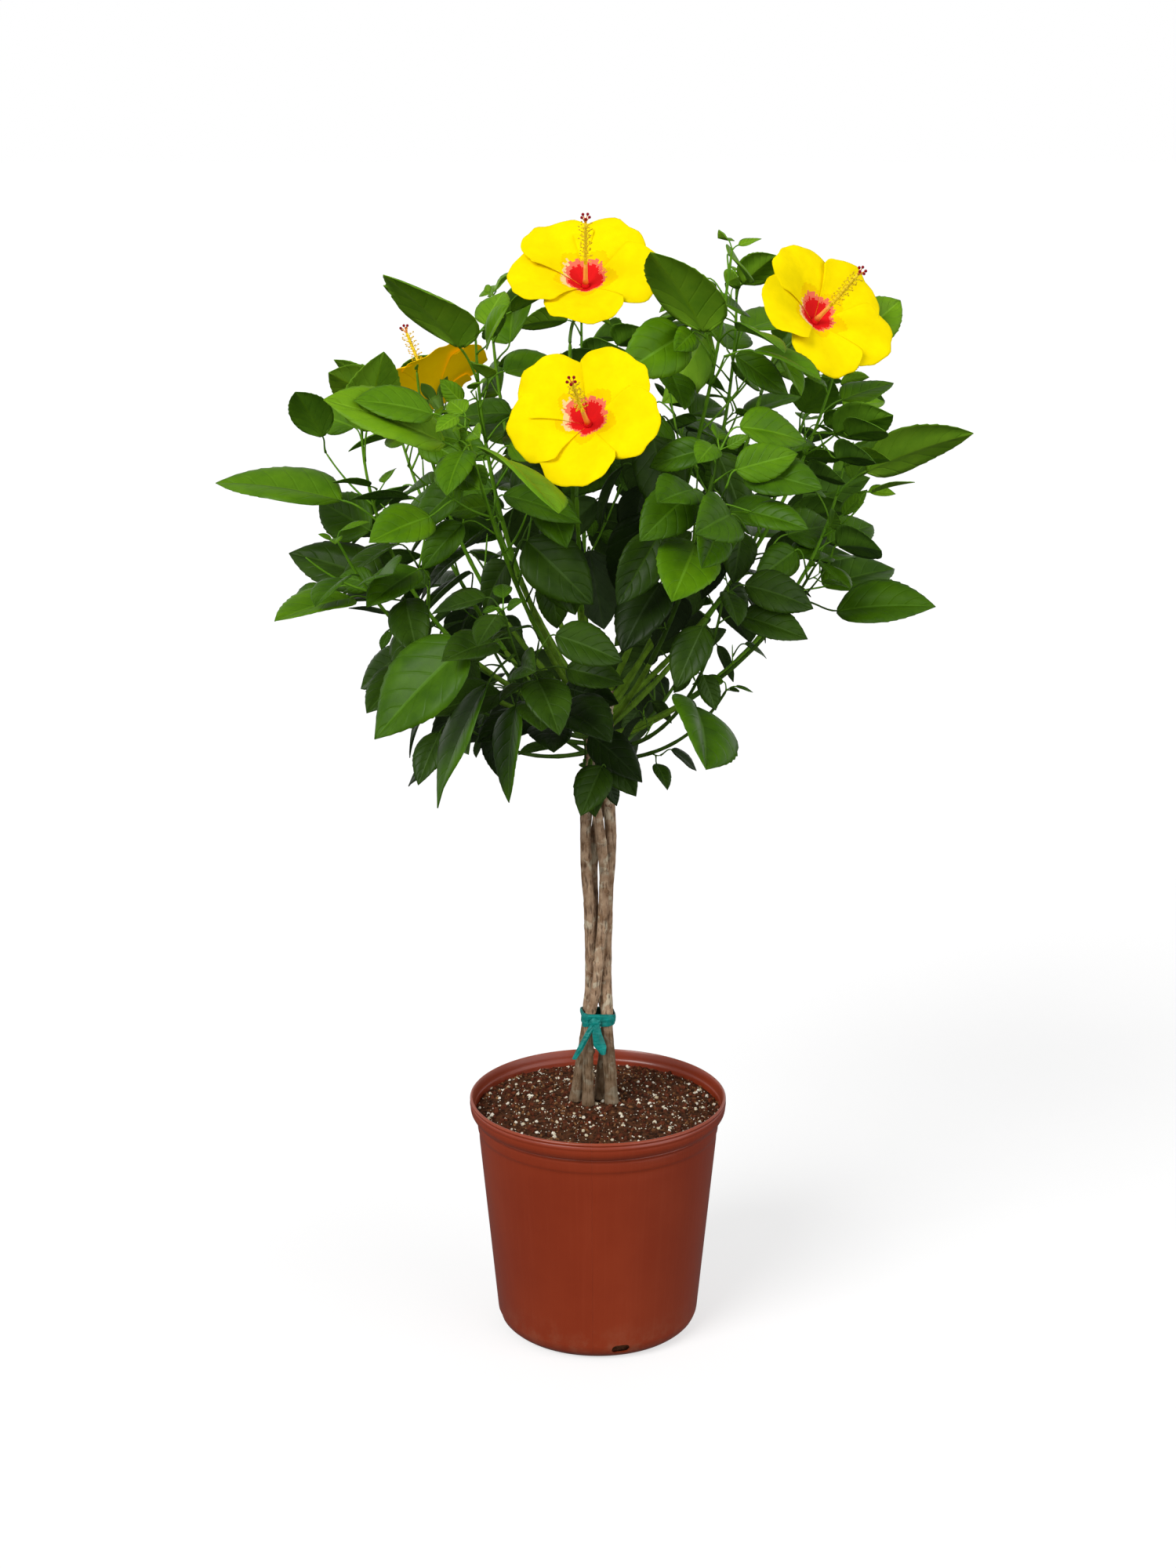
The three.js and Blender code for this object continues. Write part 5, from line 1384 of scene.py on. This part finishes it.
def two_skins(top, under, rows, columns):
    """Quads of a thin sheet given as two grids of points: both skins and the rim."""
    i, j = np.meshgrid(np.arange(rows - 1), np.arange(columns - 1), indexing="ij")
    a = (i * columns + j).ravel()
    count = rows * columns
    upper = np.stack([a, a + columns, a + columns + 1, a + 1], axis=1)
    lower = np.stack([a, a + 1, a + columns + 1, a + columns], axis=1) + count
    edge = np.concatenate([
        np.arange(columns - 1), columns - 1 + columns * np.arange(rows - 1),
        count - 1 - np.arange(columns - 1), (rows - 1 - np.arange(rows - 1)) * columns])
    following = np.roll(edge, -1)
    rim = np.stack([edge, following, following + count, edge + count], axis=1)
    return np.vstack([top, under]), np.vstack([upper, lower, rim]), len(upper), len(rim)


def petal(bloom, centre, number):
    """One petal: a sheet from the throat to a ruffled rim, one edge over its neighbour's."""
    r = draws(int(bloom["radius"]) * 31 + number, 5)
    rows, columns, radius = PETAL["rows"], PETAL["columns"], bloom["radius"]
    s = 0.05 + 0.95 * np.linspace(0, 1, rows) ** 1.05
    w = np.sin(np.linspace(-math.pi / 2, math.pi / 2, columns)) * 0.35 + np.linspace(-1, 1, columns) * 0.65
    ss, ww = np.repeat(s, columns), np.tile(w, rows)
    spread = np.radians(np.interp(ss, [row[0] for row in PETAL_SPREAD], [row[1] for row in PETAL_SPREAD]))
    phase = [FULL_TURN * r() for _ in range(4)]
    back = 1 + 5 * r()
    angle = math.radians(centre) + ww * spread
    reach = 1 - PETAL["notch"] * ss ** 2 * np.abs(ww) ** 2.6
    reach = reach + 0.014 * ss ** 8 * (np.sin(9 * ww + phase[0]) + 0.6 * np.sin(17 * ww + phase[1]))
    height = -BLOOM["depth"] * (1 - ss) ** 2 + PETAL["overlap"] * ww * ss - back * ss ** 4
    ruffle = 0.7 * np.sin(2.6 * ww + phase[2]) + 0.5 * np.cos(4.6 * ww + phase[3])
    height = height + PETAL["ruffle"] * ss ** 2.2 * ruffle
    height = height + 0.9 * ss ** 5 * np.sin(11 * ww + phase[1])
    height = height - 1.5 * np.exp(-(ww / 0.1) ** 2) * ss * (1 - ss)
    height = height + 0.22 * np.sin(26 * ww) * ss * (1.2 - ss)
    out = radius * ss * reach
    flat = np.stack([out * np.cos(angle), out * np.sin(angle), height], axis=1)
    under = flat - np.array([0, 0, PETAL["wall"]])
    points, quads, skin, rim = two_skins(flat, under, rows, columns)
    points = bloom["at"] + points @ bloom_frame(bloom)
    # the eye: a round red patch at each petal's foot, pink round it, a cream flame on the left;
    # the patches are tall on the upper petals and stay down in the throat on the lower ones
    middle = quads[:skin]
    s_face, w_face, a_face = ss[middle].mean(axis=1), ww[middle].mean(axis=1), angle[middle].mean(axis=1)
    feather = 0.009 * np.sin(17 * w_face + phase[0]) + 0.008 * np.sin(37 * w_face + phase[1])
    speckle = np.modf(np.abs(np.sin(s_face * 91.7 + w_face * 47.3 + number) * 4375.8))[0]
    feather = feather + 0.03 * (speckle - 0.5)
    patch = 0.13 + 0.1 * (0.5 - 0.5 * np.sin(a_face)) + 0.05 * (1 - np.abs(w_face) ** 1.5)
    eye = s_face - patch
    flame = (np.cos(a_face + 0.1) > 0.7) & (eye < 0.1 + feather)
    blush = 0.035 + 0.03 * (np.sin(a_face) < -0.3)
    tone = np.where(eye < 0.7 * feather, RED, np.where(eye < blush + feather, PINK, np.where(flame, CREAM,
                    np.where(eye < 0.2 - 0.12 * np.abs(w_face), THROAT, YELLOW))))
    outside = np.where(eye < 0.3, THROAT, YELLOW)
    # the rear bloom is painted gold: painted shade, with painted light given off by its finish
    if bloom["name"] == "rear":
        tone = np.where(tone == YELLOW, GOLD, tone)
        outside = np.full_like(outside, GOLD)
    finish = np.concatenate([tone, outside, np.full(rim, outside[-1])])
    return points, quads, finish, np.concatenate([np.zeros(2 * skin, bool), np.ones(rim, bool)])


def triangles_of(quads):
    return np.vstack([quads[:, [0, 1, 2]], quads[:, [0, 2, 3]]])


def bead(centre, size, finish, stretch):
    """A tiny eight-faced bead."""
    offs = np.array([(1, 0, 0), (0, 1, 0), (-1, 0, 0), (0, -1, 0), (0, 0, stretch), (0, 0, -stretch)]) * size
    faces = [(k, (k + 1) % 4, 4) for k in range(4)] + [((k + 1) % 4, k, 5) for k in range(4)]
    return centre + offs, np.array(faces), finish


def ball(centre, size, finish):
    """A small round pad with enough faces to look round close to."""
    rings, sides = 5, 8
    points = [centre + np.array([0, 0, size])]
    for i in range(1, rings):
        tilt = math.pi * i / rings
        points += [centre + size * np.array([
            math.sin(tilt) * math.cos(2 * math.pi * k / sides),
            math.sin(tilt) * math.sin(2 * math.pi * k / sides), math.cos(tilt)]) for k in range(sides)]
    points.append(centre - np.array([0, 0, size]))
    faces = [(0, 1 + k, 1 + (k + 1) % sides) for k in range(sides)]
    for i in range(rings - 2):
        for k in range(sides):
            a, b = 1 + i * sides + k, 1 + i * sides + (k + 1) % sides
            faces += [(a, a + sides, b), (b, a + sides, b + sides)]
    last = 1 + (rings - 2) * sides
    faces += [(last + k, len(points) - 1, last + (k + 1) % sides) for k in range(sides)]
    return np.array(points), np.array(faces), finish


def column_of(bloom):
    """The column with its anthers on short filaments and, at its end, five pads on forks."""
    axes = bloom_frame(bloom)
    r = draws(int(bloom["radius"]) * 17, 3)
    foot, top = -BLOOM["depth"] + 1, BLOOM["column"] - 9

    def sag(share):
        return -3.5 * share ** 2

    def spot(share, x, y):
        return bloom["at"] + np.array([x, y + sag(share), foot + (top - foot) * share]) @ axes

    shares = np.linspace(0, 1, 14)
    path = [spot(share, 0, 0) for share in shares]
    radii = np.interp(shares, (0, 0.06, 0.14, 0.4, 1), (COLUMN["foot"], 3.0, 2.1, 1.7, COLUMN["neck"]))
    parts = [(*tube(path[:2], radii[:2], 12), RED), (*tube(path[1:6], radii[1:6], 12), COLUMN_ORANGE),
             (*tube(path[5:], radii[5:], 12), COLUMN_YELLOW)]
    for k in range(COLUMN["anthers"]):
        share = COLUMN["first"] + (0.97 - COLUMN["first"]) * (k + 0.5) / COLUMN["anthers"]
        a = math.radians(GOLDEN * k)
        out = COLUMN["filament"] * (0.75 + 0.5 * r())
        root = spot(share, 0.8 * math.cos(a), 0.8 * math.sin(a))
        end = spot(min(1.02, share + 0.035), out * math.cos(a), out * math.sin(a))
        parts.append((*tube([root, end], np.array([0.28, 0.2]), 4), COLUMN_YELLOW))
        parts.append(bead(end, 0.85 + 0.25 * r(), ANTHER, 0.8))
    for k in range(COLUMN["pads"]):
        a = 2 * math.pi * (k + 0.3) / COLUMN["pads"]
        bend, end = (bloom["at"] + np.array([out * math.cos(a), out * math.sin(a) + sag(1), top + on]) @ axes
                     for out, on in ((1.8, 4), (3.6, 7)))
        parts.append((*tube([path[-1], bend, end], np.array([0.7, 0.5, 0.5]), 6), COLUMN_ORANGE))
        parts.append(ball(end, 1.4, PAD))
    return parts


def calyx_of(bloom):
    """A green cup on the stalk, five sepals against the petals and a ring of thin bracts."""
    axes, depth = bloom_frame(bloom), BLOOM["depth"]

    def place(radius, a, h):
        return bloom["at"] + np.array([radius * math.cos(a), radius * math.sin(a), h]) @ axes

    stalk = smoothed([*stalk_of(bloom), bloom["at"] - bloom["face"] * (depth + 6)])
    share = np.linspace(0, 1, len(stalk))
    radii = BLOOM["stalk"] * (1 + 0.35 * np.exp(-((share - 0.62) / 0.03) ** 2)) + 0.5 * share ** 6
    parts = [(*tube(stalk, radii, 10), STALK)]
    cup = [(-depth - 15, 2.0), (-depth - 12, 3.4), (-depth - 8, 5.0), (-depth - 3, 6.2), (-depth + 1.5, 7.4)]
    wide = np.array([radius for _, radius in cup])
    parts.append((*tube([place(0, 0, h) for h, _ in cup], wide, 15), SEPAL))
    for k in range(5):
        middle = math.radians(bloom["petals"][k] + 36)
        grid = []
        for s in np.linspace(0.07, 0.36, 9):
            half = 0.62 * (1 - ((s - 0.07) / 0.29) ** 1.6) + 0.02
            for w in (-1, -0.4, 0.4, 1):
                h = -depth * (1 - s) ** 2 - 3.2 - 0.5 * abs(w)
                grid.append(place(bloom["radius"] * s + 0.4, middle + w * half, h))
        top = np.array(grid)
        points, quads, _, _ = two_skins(top, top - bloom["face"] * 0.5, 9, 4)
        parts.append((points, triangles_of(quads), SEPAL))
    for k in range(7):
        a = 2 * math.pi * k / 7
        path = smoothed([place(r, a, h - depth) for r, h in ((2.5, -13), (6, -9), (9.5, -4), (12, 2))])
        parts.append((*tube(path, np.linspace(0.8, 0.25, len(path)), 5), SEPAL))
    return parts


petals = [petal(bloom, angle, 5 * b + k) for b, bloom in enumerate(blooms)
          for k, angle in enumerate(bloom["petals"])]
offsets = np.cumsum([0] + [len(sheet[0]) for sheet in petals])
petal_piece = mesh_object(
    "petals", np.vstack([sheet[0] for sheet in petals]),
    np.vstack([sheet[1] + start for sheet, start in zip(petals, offsets)]), BLOOM_FINISHES,
    np.concatenate([sheet[2] for sheet in petals]))
sharpen(petal_piece, np.concatenate([sheet[3] for sheet in petals]))
points, faces, finishes = joined([part for bloom in blooms for part in column_of(bloom) + calyx_of(bloom)])
bloom_hearts = mesh_object("bloom_columns_and_sepals", points, faces, BLOOM_FINISHES, finishes)
for piece in (petal_piece, bloom_hearts):
    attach(piece, BODY)
    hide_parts(*[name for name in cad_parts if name.startswith("bloom_")])

# ---------------------------------------------------------------- floor, light and camera
# A plain pale floor that meets a pale studio wall without a line, a broad soft key light from
# the front left, a softer fill half as strong from low on the right, and the view from the
# show side a little above.
floor_paint, tree, shader, place = surface("floor paint", Specular_IOR_Level=0.0, Roughness=1.0,
                                           Base_Color=(0.45, 0.45, 0.45, 1), Emission_Strength=0.62)
shader.inputs["Emission Color"].default_value = (1, 1, 1, 1)
FLOOR_REACH = 60000
corners = [(x * FLOOR_REACH, y * FLOOR_REACH, 0) for x, y in ((-1, -1), (1, -1), (1, 1), (-1, 1))]
floor = mesh_object("floor", corners, [(0, 1, 2, 3)], [floor_paint])
floor.visible_diffuse = False
floor.visible_glossy = False

world = bpy.data.worlds.new("studio")
world.use_nodes = True
tree = world.node_tree
height = split(tree, put(tree, "ShaderNodeTexCoord").outputs["Generated"])[2]
bands = put(tree, "ShaderNodeValToRGB", {0: maths(tree, "MULTIPLY_ADD", height, 0.5, 0.5)})
bands.color_ramp.elements[0].position, bands.color_ramp.elements[0].color = 0.0, (0.1, 0.1, 0.1, 1)
bands.color_ramp.elements[1].position, bands.color_ramp.elements[1].color = 1.0, (0.4, 0.4, 0.4, 1)
for position, value in ((0.44, 0.1), (0.47, 1.0), (0.58, 1.0), (0.64, 0.4)):
    bands.color_ramp.elements.new(position).color = (value, value, value, 1)
tree.links.new(bands.outputs[0], tree.nodes["Background"].inputs["Color"])
tree.nodes["Background"].inputs["Strength"].default_value = 1.0
bpy.context.scene.world = world


def soft_sun(name, strength, spread, comes_from):
    lamp = bpy.data.lights.new(name, "SUN")
    lamp.energy = strength
    lamp.angle = math.radians(spread)
    made = bpy.data.objects.new(name, lamp)
    made.rotation_euler = mathutils.Vector(comes_from).to_track_quat("Z", "Y").to_euler()
    bpy.context.scene.collection.objects.link(made)


soft_sun("key", 2.2, 32, (-0.5, -0.62, 0.6))
soft_sun("fill", 1.15, 60, (0.8, -0.55, 0.24))

view = bpy.data.cameras.new("show side")
view.lens = 58.05
view.sensor_width = 36
camera = bpy.data.objects.new("show side", view)
camera.location = (-0.0098, -2.34, 1.18)
camera.rotation_euler = (math.radians(75.12), 0, 0)
bpy.context.scene.collection.objects.link(camera)
bpy.context.scene.camera = camera
bpy.context.scene.view_settings.view_transform = "Standard"
